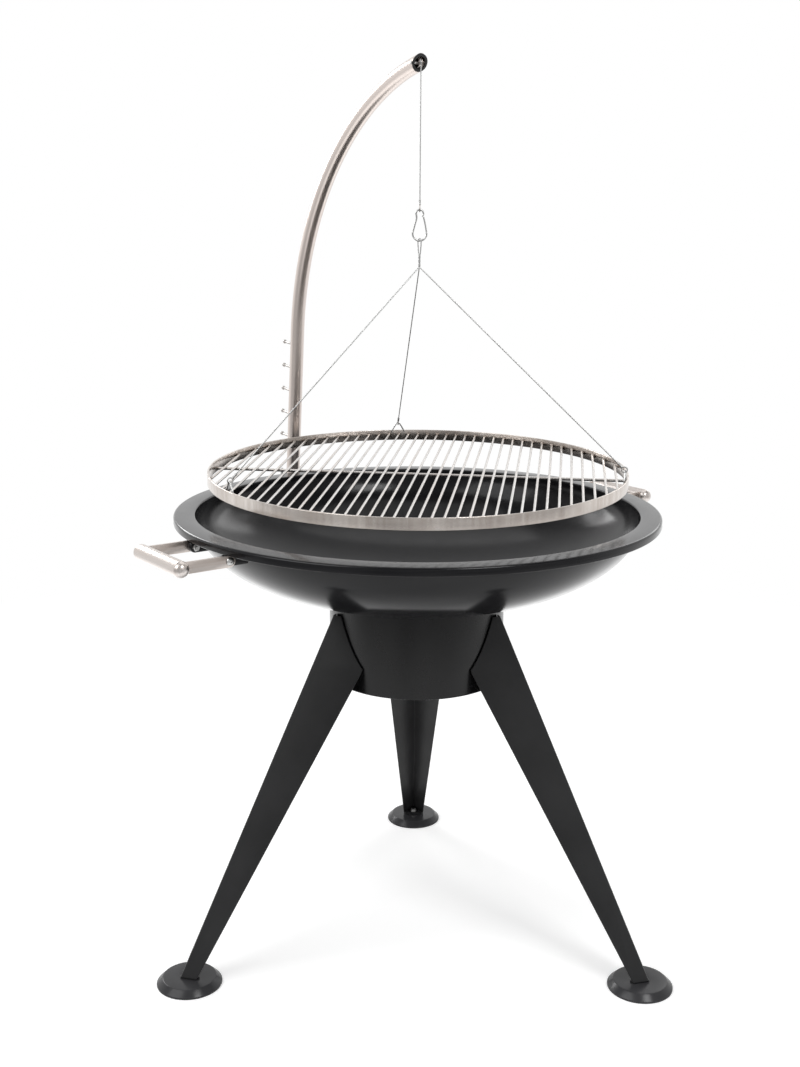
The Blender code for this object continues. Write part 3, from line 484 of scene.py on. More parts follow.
def tube(points, radius, sides, closed=False, strands=0, end=None):
    """A wire along points, its strands twisted. The grain attribute keeps places on the straight wire."""
    points = [Vector(point) for point in points]
    count = len(points)
    around = points[-1:] + points + points[:1] if closed else points[:1] + points + points[-1:]
    tangents = [(after - before).normalized() for before, after in zip(around, around[2:])]
    if end is not None:
        tangents[-1] = end.normalized()
    start = Vector((0, 0, 1)) if abs(tangents[0].z) < 0.9 else Vector((1, 0, 0))
    across = tangents[0].cross(start).normalized()
    verts = []
    grains = []
    length = 0.0
    for i, (point, tangent) in enumerate(zip(points, tangents)):
        if i:
            length += (point - points[i - 1]).length
            across = tangents[i - 1].rotation_difference(tangent) @ across
            across = (across - tangent * across.dot(tangent)).normalized()
        up = tangent.cross(across)
        for side in range(sides):
            angle = tau * side / sides
            cosine, sine = cos(angle), sin(angle)
            reach = radius
            if strands:
                lobe = angle - tau * length / LAY_LENGTH
                reach *= 1 - STRAND_DEPTH + STRAND_DEPTH * abs(cos(strands * lobe / 2))
            verts.append(point + (across * cosine + up * sine) * reach)
            grains.append((length, radius * cosine, radius * sine))
    faces = []
    for i in range(count if closed else count - 1):
        k = (i + 1) % count
        for side in range(sides):
            j = (side + 1) % sides
            faces.append((i * sides + side, i * sides + j, k * sides + j, k * sides + side))
    if not closed:
        faces.append(tuple(range(sides))[::-1])
        faces.append(tuple((count - 1) * sides + side for side in range(sides)))
    mesh = bpy.data.meshes.new("shape")
    mesh.from_pydata(verts, [], faces)
    held = mesh.attributes.new("grain", "FLOAT_VECTOR", "POINT")
    for value, grain in zip(held.data, grains):
        value.vector = grain
    mesh.validate()
    return smoothed(mesh, 50)


def stranded(points, radius):
    """A stranded wire along points."""
    return tube(points, radius, STRAND_SIDES, strands=STRANDS)


def looped(side, middle, per, step):
    """Even points on a smooth line in YZ: one side, the middle, and the side's mirror image."""
    path = side + middle + [(-y, z) for y, z in side[::-1]]
    return evened(spline([(0, y, z) for y, z in path], per), step)


def joined(parts):
    """One mesh from several, each given as (mesh, place)."""
    bm = bmesh.new()
    for mesh, place in parts:
        first = len(bm.verts)
        bm.from_mesh(mesh)
        bm.verts.ensure_lookup_table()
        bmesh.ops.transform(bm, matrix=place, verts=bm.verts[first:])
    mesh = bpy.data.meshes.new("shape")
    bm.to_mesh(mesh)
    bm.free()
    return mesh


# Materials


def fed(tree, made, **values):
    """A node with its inputs set, or linked where the value is another node's output."""
    for key, value in values.items():
        name = key.replace("_", " ")
        if name not in made.inputs:
            setattr(made, key, value)
        elif isinstance(value, bpy.types.NodeSocket):
            tree.links.new(value, made.inputs[name])
        else:
            made.inputs[name].default_value = value
    return made


def new_node(tree, kind, **values):
    return fed(tree, tree.nodes.new("ShaderNode" + kind), **values)


def output(tree, kind, *sources, **values):
    """First output of a new node whose first inputs are other nodes' outputs."""
    made = new_node(tree, kind, **values)
    for source, socket in zip(sources, made.inputs):
        tree.links.new(source, socket)
    return made.outputs[0]


def calculated(tree, operation, first, second):
    return output(tree, "Math", first, second, operation=operation)


def coordinates(tree, kind="Object"):
    return new_node(tree, "TexCoord").outputs[kind]


def distance(tree, place):
    return new_node(tree, "VectorMath", operation="LENGTH", Vector=place).outputs["Value"]


def new_material(name):
    made = bpy.data.materials.new(name)
    made.use_nodes = True
    return made, made.node_tree, made.node_tree.nodes["Principled BSDF"]


def ranged(tree, value, low, high, first=0.0, last=1.0):
    """A range of a value mapped to another, whose ends may be other nodes' outputs."""
    ends = {"From_Min": low, "From_Max": high, "To_Min": first, "To_Max": last}
    return output(tree, "MapRange", Value=value, **ends)


def mixed(tree, share, first, second):
    made = new_node(tree, "Mix", data_type="RGBA", Factor=share)
    colours = [socket for socket in made.inputs if socket.type == "RGBA"]
    for socket, colour in zip(colours, (first, second)):
        if isinstance(colour, bpy.types.NodeSocket):
            tree.links.new(colour, socket)
        else:
            socket.default_value = (*colour, 1)
    return [socket for socket in made.outputs if socket.type == "RGBA"][0]


def noise(tree, coordinates, scale, stretch=(1, 1, 1), detail=3.0):
    place = output(tree, "Mapping", Vector=coordinates, Scale=stretch)
    return output(tree, "TexNoise", Vector=place, Scale=scale, Detail=detail)


def bump(tree, height, strength, distance):
    return output(tree, "Bump", Height=height, Strength=strength, Distance=distance)


def scaled(values, factor):
    return tuple(factor * value for value in values)


def enamel(name, colour, roughness, peel, dust):
    """Black enamel: slightly uneven gloss, a fine orange peel and a trace of ash."""
    made, tree, shader = new_material(name)
    place = coordinates(tree)
    shade = ranged(tree, noise(tree, place, 9.0, detail=4.0), 0.35, 0.65)
    base = mixed(tree, shade, scaled(colour, 0.85), scaled(colour, 1.2))
    ash = ranged(tree, noise(tree, place, 160.0, detail=5.0), 0.62, 0.80, 0.0, dust)
    cloud = noise(tree, place, 28.0, detail=6.0)
    gloss = ranged(tree, cloud, 0.3, 0.7, roughness - 0.02, roughness + 0.03)
    normal = bump(tree, noise(tree, place, 620.0, detail=2.0), peel, 0.0004)
    fed(tree, shader, Base_Color=mixed(tree, ash, base, ASH), Roughness=gloss, Normal=normal)
    fed(tree, shader, Specular_IOR_Level=ENAMEL_SPECULAR)
    return made


def steel(name, colour, roughness, stretch, streak, scratch, warm=WARM, wire=False, heat=0, brushed=0):
    """Steel with its grain drawn out along the stretch's small numbers, brown beyond the heat's radius. On
    the grate's hoop these streaks are partly grain and partly painted reflection.
    """
    made, tree, shader = new_material(name)
    if wire:
        place = new_node(tree, "Attribute", attribute_name="grain").outputs["Vector"]
    else:
        place = coordinates(tree)
    grain = noise(tree, place, 1.0, stretch, detail=6.0)
    broad = noise(tree, place, 1.0, scaled(stretch, 0.12))
    tint = noise(tree, place, 14.0, detail=2.0)
    pale = scaled(colour, 1 + streak)
    deep = tuple(part * (1 - streak) * tone for part, tone in zip(colour, warm))
    lines = mixed(tree, ranged(tree, grain, 0.3, 0.7), deep, pale)
    bands = mixed(tree, ranged(tree, broad, 0.35, 0.65), deep, pale)
    half = mixed(tree, ranged(tree, tint, 0.3, 0.7, 0.35, 0.65), lines, bands)
    if heat:
        burnt = ranged(tree, distance(tree, place), heat - HEAT_BAND, heat)
        half = mixed(tree, burnt, half, HEAT_BROWN)
    if brushed:
        around = output(tree, "Tangent", direction_type="RADIAL", axis="Z")
        fed(tree, shader, Tangent=around, Anisotropic=brushed, Anisotropic_Rotation=0.25)
    gloss = ranged(tree, grain, 0.25, 0.75, roughness - 0.03, roughness + 0.04)
    normal = bump(tree, grain, scratch, 0.0003)
    fed(tree, shader, Base_Color=half, Metallic=1.0, Roughness=gloss, Normal=normal)
    return made


def moulded(name, colour, roughness):
    made, tree, shader = new_material(name)
    place = coordinates(tree)
    fine = noise(tree, place, 900.0)
    broad = noise(tree, place, 60.0)
    base = mixed(tree, ranged(tree, broad, 0.3, 0.7), scaled(colour, 0.8), scaled(colour, 1.5))
    gloss = ranged(tree, broad, 0.3, 0.7, roughness - 0.06, roughness + 0.08)
    fed(tree, shader, Base_Color=base, Roughness=gloss, Normal=bump(tree, fine, 0.15, 0.0002))
    return made


MATERIALS = {
    "bowl": enamel("bowl_enamel", (0.0045, 0.0045, 0.0056), 0.17, 0.006, 0.004),
    "drum": enamel("drum_enamel", (0.004, 0.004, 0.0044), 0.26, 0.01, 0.006),
    "legs": enamel("leg_coating", (0.019, 0.019, 0.0198), 0.30, 0.03, 0.015),
    "feet": enamel("foot_coating", (0.038, 0.038, 0.0405), 0.22, 0.03, 0.04),
    "socket": enamel("socket_coating", (0.012, 0.012, 0.0125), 0.32, 0.08, 0.06),
    "lugs": enamel("lug_enamel", (0.010, 0.010, 0.011), 0.28, 0.06, 0.05),
    "fasteners": steel("zinc", (0.56, 0.56, 0.55), 0.30, (350, 350, 60), 0.22, 0.05, NEUTRAL),
    "arm": steel("arm_steel", (0.60, 0.555, 0.53), 0.27, (0.25, 150, 150), 0.05, 0.0005, wire=True),
    "end_cap": moulded("cap_black", (0.004, 0.004, 0.004), 0.42),
    "roller": steel("roller_steel", (0.34, 0.32, 0.31), 0.22, (300, 300, 1200), 0.1, 0.02),
    "eye": steel("eye_steel", (0.26, 0.25, 0.24), 0.38, (300, 900, 900), 0.1, 0.03, wire=True),
    "cable": steel("cable_steel", (0.46, 0.46, 0.455), 0.42, (12, 900, 900), 0.06, 0.004, NEUTRAL, True),
    "hook": steel("hook_steel", (0.46, 0.46, 0.455), 0.28, (60, 900, 900), 0.06, 0.01, NEUTRAL, True),
    # The hoop's light and dark streaks and broad patches run up and down its band: partly grain, partly
    # painted reflection
    "grate": steel("grate_steel", (0.54, 0.505, 0.475), 0.24, (90, 90, 3), 0.24, 0.003, brushed=0.4),
    "rods": steel("rod_steel", (0.57, 0.56, 0.55), 0.27, (14, 300, 300), 0.04, 0.004, heat=HOOP_CLEAR_R),
    "handles": steel("handle_steel", (0.57, 0.545, 0.53), 0.33, (300, 300, 10), 0.07, 0.004),
    "straps": steel("strap_steel", (0.54, 0.50, 0.475), 0.32, (8, 300, 400), 0.07, 0.006),
    "pins": steel("pin_steel", (0.40, 0.395, 0.39), 0.22, (500, 500, 60), 0.08, 0.02),
    "wire_ends": steel("crimp_steel", (0.44, 0.44, 0.435), 0.38, (400, 400, 90), 0.06, 0.01, NEUTRAL),
}

bodies = frame["record"]["behaviour"]["bodies"]
body_of = {node: body for body, nodes in bodies.items() for node in nodes}


def dress(name, mesh, node, place=None, finish=None):
    """A piece that stands for a node: it rides on the node's body and takes the node's slot."""
    kind = max((key for key in SLOTS if node.startswith(key)), key=len)
    made = placed(name, mesh, place)
    mesh.materials.clear()
    mesh.materials.append(MATERIALS[finish or SLOTS[kind]])
    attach(made, body_of[node])
    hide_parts(node)
    return made


# Frames of the grill's parts. ARM stands at the arm's foot: Z along the leaning tube, X outward
GRILL = shift(y=GRILL_Y)
ARM_FLAT = GRILL @ turn(ARM_AZIMUTH, "Z")
ARM = ARM_FLAT @ shift(x=ARM_FOOT_R, z=SOCKET_FOOT_Z) @ turn(-ARM_LEAN, "Y")
HOOK = GRILL @ shift(z=HOOK_TOP_Z - HOOK_WIRE_R)
GRATE = GRILL @ shift(z=HOOP_TOP_Z) @ turn(GRATE_TILT, "X")


def bowl_under(radius):
    """Height of the bowl's underside at a radius."""
    return FLANGE_Z - BOWL_DEPTH * sqrt(1 - (radius / BOWL_R) ** 2)


def bowl_curve(growth, start, steps):
    """Outline of the bowl's outside, moved outward, from an angle off its axis up to its flange."""
    points = []
    for step in range(steps + 1):
        angle = radians(start + (90 - start) * step / steps)
        height = FLANGE_Z - (BOWL_DEPTH + growth) * cos(angle)
        points.append(((BOWL_R + growth) * sin(angle), height))
    return points


def bowl_clearance():
    """The bowl's outside with its clearance, for cutting what is welded to it."""
    return lathe(bowl_curve(GAP, 0, 30) + [(0, FLANGE_Z)], 192)


def in_arm(radius, height):
    """A point of the arm's upright plane, given in the frame of the arm's foot."""
    return ARM.inverted() @ ARM_FLAT @ Vector((radius, 0, height))


def bend_point(angle):
    x, z = polar(BEND_R, angle)
    return Vector((x - BEND_R, 0, STRAIGHT_LENGTH + z))


# Bowl, drum, legs and feet


def hex_body(radius, low, high):
    """A six-sided bar with its corners chamfered at both ends."""
    reach = radius * HEX_TRIM
    flat = reach - radius * HEX_CHAMFER
    fall = radius * HEX_CHAMFER_FALL
    limit = [(0, high), (flat, high), (reach, high - fall), (reach, low + fall), (flat, low), (0, low)]
    return combined(rod(radius, low, high, 6), ("INTERSECT", lathe(limit, 48)), angle=25)


def hex_bolt(shank_r, shank_length, hex_r, hex_h, washer_r, washer_t):
    """A bolt pointing down, with its washer's underside at Z = 0."""
    edge = washer_t * 0.3
    corners = [(0, washer_t, 0), (washer_r, washer_t, edge), (washer_r, 0, edge), (shank_r, 0, 0)]
    corners += [(shank_r, -shank_length, 0), (0, -shank_length, 0)]
    head = hex_body(hex_r, washer_t - WELD_DEPTH, washer_t + hex_h)
    return combined(lathe(rounded(corners, 3), 40), ("UNION", head))


def hex_nut(hex_r, height, bore_r):
    """A nut standing on Z = 0."""
    bore = rod(bore_r, -height, 2 * height, 32)
    return combined(hex_body(hex_r, 0, height), ("DIFFERENCE", bore))


def make_bowl():
    hole = BOWL_BOLT_R + GAP
    flat_angle = degrees(asin(BOWL_FLAT_R / BOWL_R))
    inner = bowl_curve(-BOWL_WALL, flat_angle, 40)
    outer = bowl_curve(0, flat_angle, 40)
    edge = (RIM_R - LIP_ROUND_R, RIM_TOP_Z - LIP_ROUND_R)
    outline = [(hole, inner[0][1]), (BOWL_FLAT_R * 0.6, inner[0][1])] + inner
    outline += arc((BOWL_R, FLANGE_Z), BOWL_WALL, 180, 90, 5)[1:]
    outline += [(RIM_R - RIM_R / 20, RIM_TOP_Z)]
    outline += arc(edge, LIP_ROUND_R, 90, 0, 8)
    middle = RIM_R - BOWL_WALL / 2
    outline += arc((middle, LIP_BOTTOM_Z + BOWL_WALL / 2), BOWL_WALL / 2, 0, -180, 6)
    outline += arc(edge, LIP_ROUND_R - BOWL_WALL, 0, 90, 4)
    outline += outer[::-1]
    outline += [(BOWL_FLAT_R * 0.6, outer[0][1]), (hole, outer[0][1])]
    dress("bowl_shell", lathe(outline, 240, ring=True), "fire_bowl", GRILL)

    inside = DRUM_R - DRUM_WALL
    corners = [
        (DRUM_R, bowl_under(DRUM_R) - GAP, 0),
        (DRUM_R, DRUM_BOTTOM_Z, 0.0022),
        (DRUM_R - DRUM_LIP, DRUM_BOTTOM_Z, 0.0006),
        (DRUM_R - DRUM_LIP, DRUM_BOTTOM_Z + DRUM_WALL, 0.0006),
        (inside, DRUM_BOTTOM_Z + DRUM_WALL, 0.001),
        (inside, bowl_under(inside) - GAP, 0),
    ]
    dress("drum_shell", lathe(rounded(corners), 180, ring=True), "base_drum", GRILL)
    top = bowl_under(BOWL_FLAT_R) - GAP
    rim = inside - GAP
    corners = [(hole, top, 0.0004), (rim, top, 0.0004)]
    corners += [(rim, top - PLATE_T, 0.0004), (hole, top - PLATE_T, 0.0004)]
    dress("drum_top_plate", lathe(rounded(corners, 2), 128, ring=True), "drum_plate", GRILL)
    bolt = hex_bolt(BOWL_BOLT_R, BOWL_BOLT_LENGTH, BOWL_HEX_R, HEX_HEIGHT, WASHER_R, WASHER_T)
    dress("bowl_hex_bolt", bolt, "bowl_bolt", GRILL @ shift(z=bowl_under(BOWL_FLAT_R) + BOWL_WALL + GAP))
    nut = hex_nut(BOWL_HEX_R, HEX_HEIGHT, BOWL_BOLT_R + GAP)
    dress("bowl_hex_nut", nut, "bowl_nut", GRILL @ shift(z=top - PLATE_T - GAP - HEX_HEIGHT))


def leg_flange(height):
    """Ridge radius and flange width of a leg at a height, kept clear of the drum."""
    foot_z = FOOT_H + GAP
    top_z = bowl_under(DRUM_R) - RIDGE_TOP_DROP
    top_r = DRUM_R + RIDGE_TOP_SETBACK
    share = (height - foot_z) / (top_z - foot_z)
    ridge = RIDGE_FOOT_R + (top_r - RIDGE_FOOT_R) * share
    width = FLANGE_FOOT + (FLANGE_TOP - FLANGE_FOOT) * share
    fold = ridge - LEG_SHEET * sqrt(2)
    reach = (DRUM_R + GAP) ** 2 - fold ** 2 / 2
    if reach > 0:
        width = min(width, LEG_SHEET + FOLD_SLOPE * fold - sqrt(reach))
    return ridge, width


def leg_section(height):
    """The folded sheet's section with its fold and its edges rounded."""
    ridge, width = leg_flange(height)
    fold = ridge - LEG_SHEET * sqrt(2)
    outer = (ridge - FOLD_SLOPE * width, FOLD_SLOPE * width)
    inner = (outer[0] - FOLD_SLOPE * LEG_SHEET, outer[1] - FOLD_SLOPE * LEG_SHEET)
    corners = [(ridge, 0, LEG_FOLD_R), (*outer, LEG_EDGE_R), (*inner, LEG_EDGE_R), (fold, 0, 0.001)]
    corners += [(inner[0], -inner[1], LEG_EDGE_R), (outer[0], -outer[1], LEG_EDGE_R)]
    return rounded(corners, 5)


def leg_mesh():
    """A leg in its own frame, +X outward, with the end plate that stands on the foot."""
    top_z = bowl_under(DRUM_R) - RIDGE_TOP_DROP
    foot_z = FOOT_H + GAP
    heights = [top_z - LEG_FINE_STEP * step for step in range(LEG_FINE_STEPS)]
    heights += [top_z - LEG_STEP * step for step in (1, 2, 3)] + [foot_z + LEG_PLATE_T - WELD_DEPTH]
    bm = bmesh.new()
    rings = [[bm.verts.new((x, y, height)) for x, y in leg_section(height)] for height in heights]
    for first, second in zip(rings, rings[1:]):
        for i in range(len(first)):
            j = (i + 1) % len(first)
            bm.faces.new((first[i], first[j], second[j], second[i]))
    bm.faces.new(rings[0])
    bm.faces.new(rings[-1][::-1])
    ridge, width = leg_flange(foot_z)
    side = FOLD_SLOPE * width
    tab = FOOT_CIRCLE_R - 2 * FOOT_HEX_R
    corners = [(ridge, 0, 0.003), (ridge - side, side, 0.001), (tab, side * 0.8, 0.003)]
    corners += [(tab, -side * 0.8, 0.003), (ridge - side, -side, 0.001)]
    foot_plate = plate(rounded(corners), LEG_PLATE_T, 0.0005)
    lay_flat = shift(z=foot_z + LEG_PLATE_T / 2) @ turn(-90, "X")
    bore = rod(FOOT_BOLT_R + GAP, 0, 2 * FOOT_H, 32)
    tools = [("UNION", foot_plate, lay_flat), ("DIFFERENCE", bore, shift(x=FOOT_CIRCLE_R))]
    return combined(finished(bm), *tools)


def make_legs():
    leg = leg_mesh()
    pocket = FOOT_BOLT_R + GAP
    pocket_z = FOOT_H - FOOT_BOLT_DEPTH - GAP
    corners = [(0, pocket_z, 0), (pocket, pocket_z, 0), (pocket, FOOT_H, 0.0003)]
    corners += [(FOOT_TOP_R, FOOT_H, 0.0025), (FOOT_R, FOOT_EDGE_H, 0.0015), (FOOT_R, 0, 0.0006), (0, 0, 0)]
    foot = lathe(rounded(corners, 5), 128)
    length = FOOT_BOLT_DEPTH + LEG_PLATE_T + GAP
    size = (FOOT_HEX_R, FOOT_HEX_HEIGHT, FOOT_WASHER_R, FOOT_WASHER_T)
    bolt = hex_bolt(FOOT_BOLT_R, length, *size)
    for side, azimuth in LEG_AZIMUTHS.items():
        spoke = GRILL @ turn(azimuth, "Z")
        dress("leg_sheet_" + side, leg, "leg_" + side, spoke)
        dress("foot_disc_" + side, foot, "foot_" + side, spoke @ shift(x=FOOT_CIRCLE_R))
        bolt_place = spoke @ shift(x=FOOT_CIRCLE_R, z=FOOT_H + LEG_PLATE_T + 2 * GAP)
        dress("foot_hex_bolt_" + side, bolt, "foot_bolt_" + side, bolt_place)


# Socket and arm


def make_socket():
    bore = TUBE_R + GAP
    corners = [(0, -SOCKET_STOP_T, 0), (SOCKET_R, -SOCKET_STOP_T, 0.0015)]
    corners += [(SOCKET_R, SOCKET_LENGTH, 0.0008), (bore, SOCKET_LENGTH, 0.0006)]
    corners += [(bore, -GAP, 0), (0, -GAP, 0)]
    body = lathe(rounded(corners), 72)
    sideways = shift(z=CLAMP_HEIGHT) @ turn(CLAMP_TURN, "Z") @ turn(90, "Y")
    boss = rod(BOSS_R, bore + WELD_DEPTH, BOSS_REACH, 48, 0.0006)
    thread = rod(SCREW_R + GAP, TUBE_R / 2, 2 * BOSS_REACH, 32)
    body = combined(body, ("UNION", boss, sideways), ("DIFFERENCE", thread, sideways), angle=38)
    dress("socket_tube", body, "arm_socket", ARM)

    low = SOCKET_FOOT_Z + GUSSET_FOOT_RISE
    top = LIP_BOTTOM_Z - GUSSET_TOP_DROP
    side = SOCKET_R / cos(radians(ARM_LEAN)) + GAP
    near = [ARM_FOOT_R + (SOCKET_FOOT_Z - height) * LEAN_SLOPE - side for height in (top, low)]
    outline = [(near[0], top), (BOWL_R - GUSSET_TOP_INSET, top)]
    outline += [(BOWL_R - GUSSET_NOSE_INSET, low + GUSSET_NOSE_RISE), (near[1], low)]
    cut = ("DIFFERENCE", bowl_clearance(), turn(-ARM_AZIMUTH, "Z"))
    web = combined(plate(outline, GUSSET_T, 0.0006), cut, angle=38)
    dress("gusset_plate", web, "socket_gusset", ARM_FLAT)

    half = COLLAR_LENGTH / 2
    corners = [(0, TUBE_R + GAP, 0), (SCREW_R, TUBE_R + GAP, 0.0004), (SCREW_R, SCREW_REACH - half, 0)]
    corners += [(COLLAR_R, SCREW_REACH - half, 0.0008), (COLLAR_R, SCREW_REACH + half, 0.0008)]
    corners += [(0, SCREW_REACH + half, 0)]
    screw = lathe(rounded(corners), 48)
    bar = rod(T_BAR_R, -T_BAR_LENGTH / 2, T_BAR_LENGTH / 2, 32, 0.0009)
    across = shift(z=SCREW_REACH) @ turn(90, "Y")
    screw = combined(screw, ("UNION", bar, across), angle=38)
    dress("clamp_screw_t_bar", screw, "arm_clamp_screw", ARM @ sideways)


def arm_tube_mesh():
    """The hollow tube with its tilted end face and its openings for the roller pin and the cable."""
    path = [(0, 0, height) for height in STRAIGHT_STATIONS]
    path += [bend_point(BEND_ANGLE * step / BEND_STEPS) for step in range(BEND_STEPS + 1)]
    facing = ARM.to_3x3().inverted() @ (ARM_FLAT @ turn(-TIP_FACE_TILT, "Y")).to_3x3()
    face = facing @ Vector((1, 0, 0))
    tip = in_arm(TIP_FACE_R, ROLLER_Z)
    x, z = polar(1, BEND_ANGLE + 90)
    tangent = Vector((x, 0, z))
    outer = tube(path, TUBE_R, TUBE_SIDES, end=tangent)
    for vert in outer.vertices[-TUBE_SIDES:]:
        vert.co += tangent * ((tip - vert.co).dot(face) / tangent.dot(face))
    path[0] = (0, 0, -BORE_OVER)
    path[-1] = path[-1] + tangent * BORE_REACH
    bore = tube(path, TUBE_R - TUBE_WALL, TUBE_SIDES, end=tangent)
    pin_hole = rod(ROLLER_PIN_R + GAP, -2 * TUBE_R, 2 * TUBE_R, 32)
    pin_place = Matrix.Translation(in_arm(ROLLER_PITCH_R, ROLLER_Z)) @ turn(90, "X")
    slot = rod(1, TUBE_R / 2, 2 * TUBE_R, 40)
    slot.transform(Matrix.Diagonal((EXIT_HALF_HEIGHT, EXIT_HALF_WIDTH, 1, 1)))
    slot_place = shift(z=EXIT_HEIGHT) @ turn(90, "Y")
    cuts = [("DIFFERENCE", bore), ("DIFFERENCE", pin_hole, pin_place), ("DIFFERENCE", slot, slot_place)]
    return combined(outer, *cuts)


def make_arm():
    dress("arm_steel_tube", arm_tube_mesh(), "arm_tube", ARM)
    centre_z = (ARM @ bend_point(BEND_ANGLE)).z
    corners = [(CAP_INNER_R, 0, 0.0005), (CAP_OUTER_R, 0, 0.0006)]
    corners += [(CAP_OUTER_R, CAP_T, 0.0006), (CAP_INNER_R, CAP_T, 0.0005)]
    tip_place = ARM_FLAT @ shift(x=TIP_FACE_R, z=centre_z) @ turn(-TIP_FACE_TILT, "Y")
    cap_place = tip_place @ shift(x=-GAP - CAP_T) @ turn(90, "Y")
    dress("arm_end_ring", lathe(rounded(corners), 72, ring=True), "arm_end_cap", cap_place)

    roller = ARM_FLAT @ shift(x=ROLLER_PITCH_R, z=ROLLER_Z) @ turn(90, "X")
    half = ROLLER_PIN_LENGTH / 2
    dress("roller_cross_pin", rod(ROLLER_PIN_R, -half, half, 40, 0.0007), "roller_pin", roller)
    bore = ROLLER_PIN_R + GAP
    groove = ROLLER_PITCH_R - CABLE_R - GAP
    half = ROLLER_WIDTH / 2
    flange = half - ROLLER_FLANGE_T
    corners = [(bore, half, 0.0003), (bore, -half, 0.0003), (ROLLER_RIM_R, -half, 0.0004)]
    corners += [(ROLLER_RIM_R, -flange, 0.0002), (groove, -ROLLER_GROOVE_HALF, 0.0006)]
    corners += [(groove, ROLLER_GROOVE_HALF, 0.0006), (ROLLER_RIM_R, flange, 0.0002)]
    corners += [(ROLLER_RIM_R, half, 0.0004)]
    dress("grooved_roller", lathe(rounded(corners), 72, ring=True), "tip_roller", roller)

    head = PIN_REACH - PIN_HEAD_R
    neck = degrees(acos(PIN_R / PIN_HEAD_R))
    outline = [(x, head + y) for x, y in arc((0, 0), PIN_HEAD_R, 90, -neck, 16)]
    outline += [(PIN_R, TUBE_R + PIN_WELD_H), (PIN_R + PIN_WELD_T, TUBE_R + GAP), (0, TUBE_R + GAP)]
    pin = lathe(outline, 32)
    for index in range(1, PIN_COUNT + 1):
        place = ARM @ shift(z=TOP_PIN_HEIGHT - PIN_PITCH * (index - 1)) @ turn(90, "Y")
        dress("ball_pin_%d" % index, pin, "height_pin_%d" % index, place, "pins")


def make_lift_cable():
    """The cable over the roller, down inside the tube, out above the top pin, and its end ring."""
    over_roller = arc((ROLLER_PITCH_R, ROLLER_Z), ROLLER_PITCH_R, 180, 60, 24)
    points = [in_arm(radius, height) for radius, height in over_roller]
    tail = TUBE_R + GAP + END_FERRULE_R
    hung = TOP_PIN_HEIGHT + END_RING_R - END_RING_WIRE_R - PIN_R - GAP
    top = END_RING_R + END_RING_WIRE_R + END_FERRULE_LENGTH
    route = [points[-1]] + [bend_point(angle) for angle in CABLE_ANGLES]
    for share, rise in CABLE_EXIT:
        route.append((tail * share, 0, EXIT_HEIGHT + EXIT_HALF_HEIGHT * rise))
    route.append((tail, 0, hung + top + GAP))
    points = evened(points[:-1] + spline(route, 10), CABLE_STEP)
    dress("stranded_lift_cable", stranded(points, CABLE_R), "lift_cable", ARM)
    circle = [(0, y, z) for y, z in arc((0, 0), END_RING_R, 0, 350, 35)]
    ring = tube(circle, END_RING_WIRE_R, 16, closed=True)
    ferrule = lathe(crimped(END_FERRULE_R, END_RING_R - END_RING_WIRE_R / 2, top), 32)
    made = combined(ring, ("UNION", ferrule), angle=38)
    dress("cable_tail_ring", made, "cable_end_ring", ARM @ shift(x=tail, z=hung), "wire_ends")


def crimped(radius, low, high):
    """Outline of a crimped sleeve: rounded ends and two pressed bands."""
    shape = CRIMP + tuple((1 - share, size) for share, size in CRIMP[::-1])
    outline = [(radius * size, high - (high - low) * share) for share, size in shape]
    return [(0, high)] + outline + [(0, low)]


# Cable, hook and grate


def make_cable():
    eye_top = HOOK_TOP_Z - HOOK_WIRE_R + EYE_HEIGHT
    low = eye_top + 2 * GAP + FERRULE_LENGTH
    high = ROLLER_Z - GAP
    points = [(0, 0, high - CABLE_STEP * step) for step in range(int((high - low) / CABLE_STEP))]
    mesh = stranded(points + [(0, 0, low)], CABLE_R)
    cable = dress("stranded_cable", mesh, "hanging_cable", GRILL)
    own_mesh(cable)
    ferrule = lathe(crimped(FERRULE_SHOWN * FERRULE_R, 0, FERRULE_LENGTH), 36)
    dress("cable_crimp", ferrule, "cable_ferrule", GRILL @ shift(z=eye_top + GAP), "wire_ends")
    points = looped(EYE_SIDE, arc((0, 0), EYE_BEND_R, -15, -165, 8), 6, 0.0005)
    dress("cable_loop", stranded(points, EYE_SHOWN * EYE_WIRE_R), "cable_eye", HOOK, "eye")


def make_hook():
    """A pear-shaped hook with a pinched neck, and the gate that closes its right side."""
    top = (0, -HOOK_TOP_BEND_R)
    low = (0, top[1] - HOOK_BEND_SPACING)
    path = arc(top, HOOK_TOP_BEND_R, -52, 200, 20) + HOOK_NECK
    path += arc(low, HOOK_LOW_BEND_R, 168, 360 + GATE_END_ANGLE, 20)
    hinge = Vector((path[-1][0], 0, path[-1][1] + GATE_HINGE_GAP))
    points = evened(spline([(x, 0, z) for x, z in path], 4), 0.0006)
    dress("wire_hook", tube(points, HOOK_WIRE_R, 24), "snap_hook", HOOK)
    middle = hinge.lerp(GATE_TIP, 0.5) + Vector((GATE_BOW, 0, 0))
    points = evened(spline([hinge, middle, GATE_TIP], 8), 0.0008)
    dress("wire_gate", tube(points, GATE_R, 20), "hook_gate", HOOK)


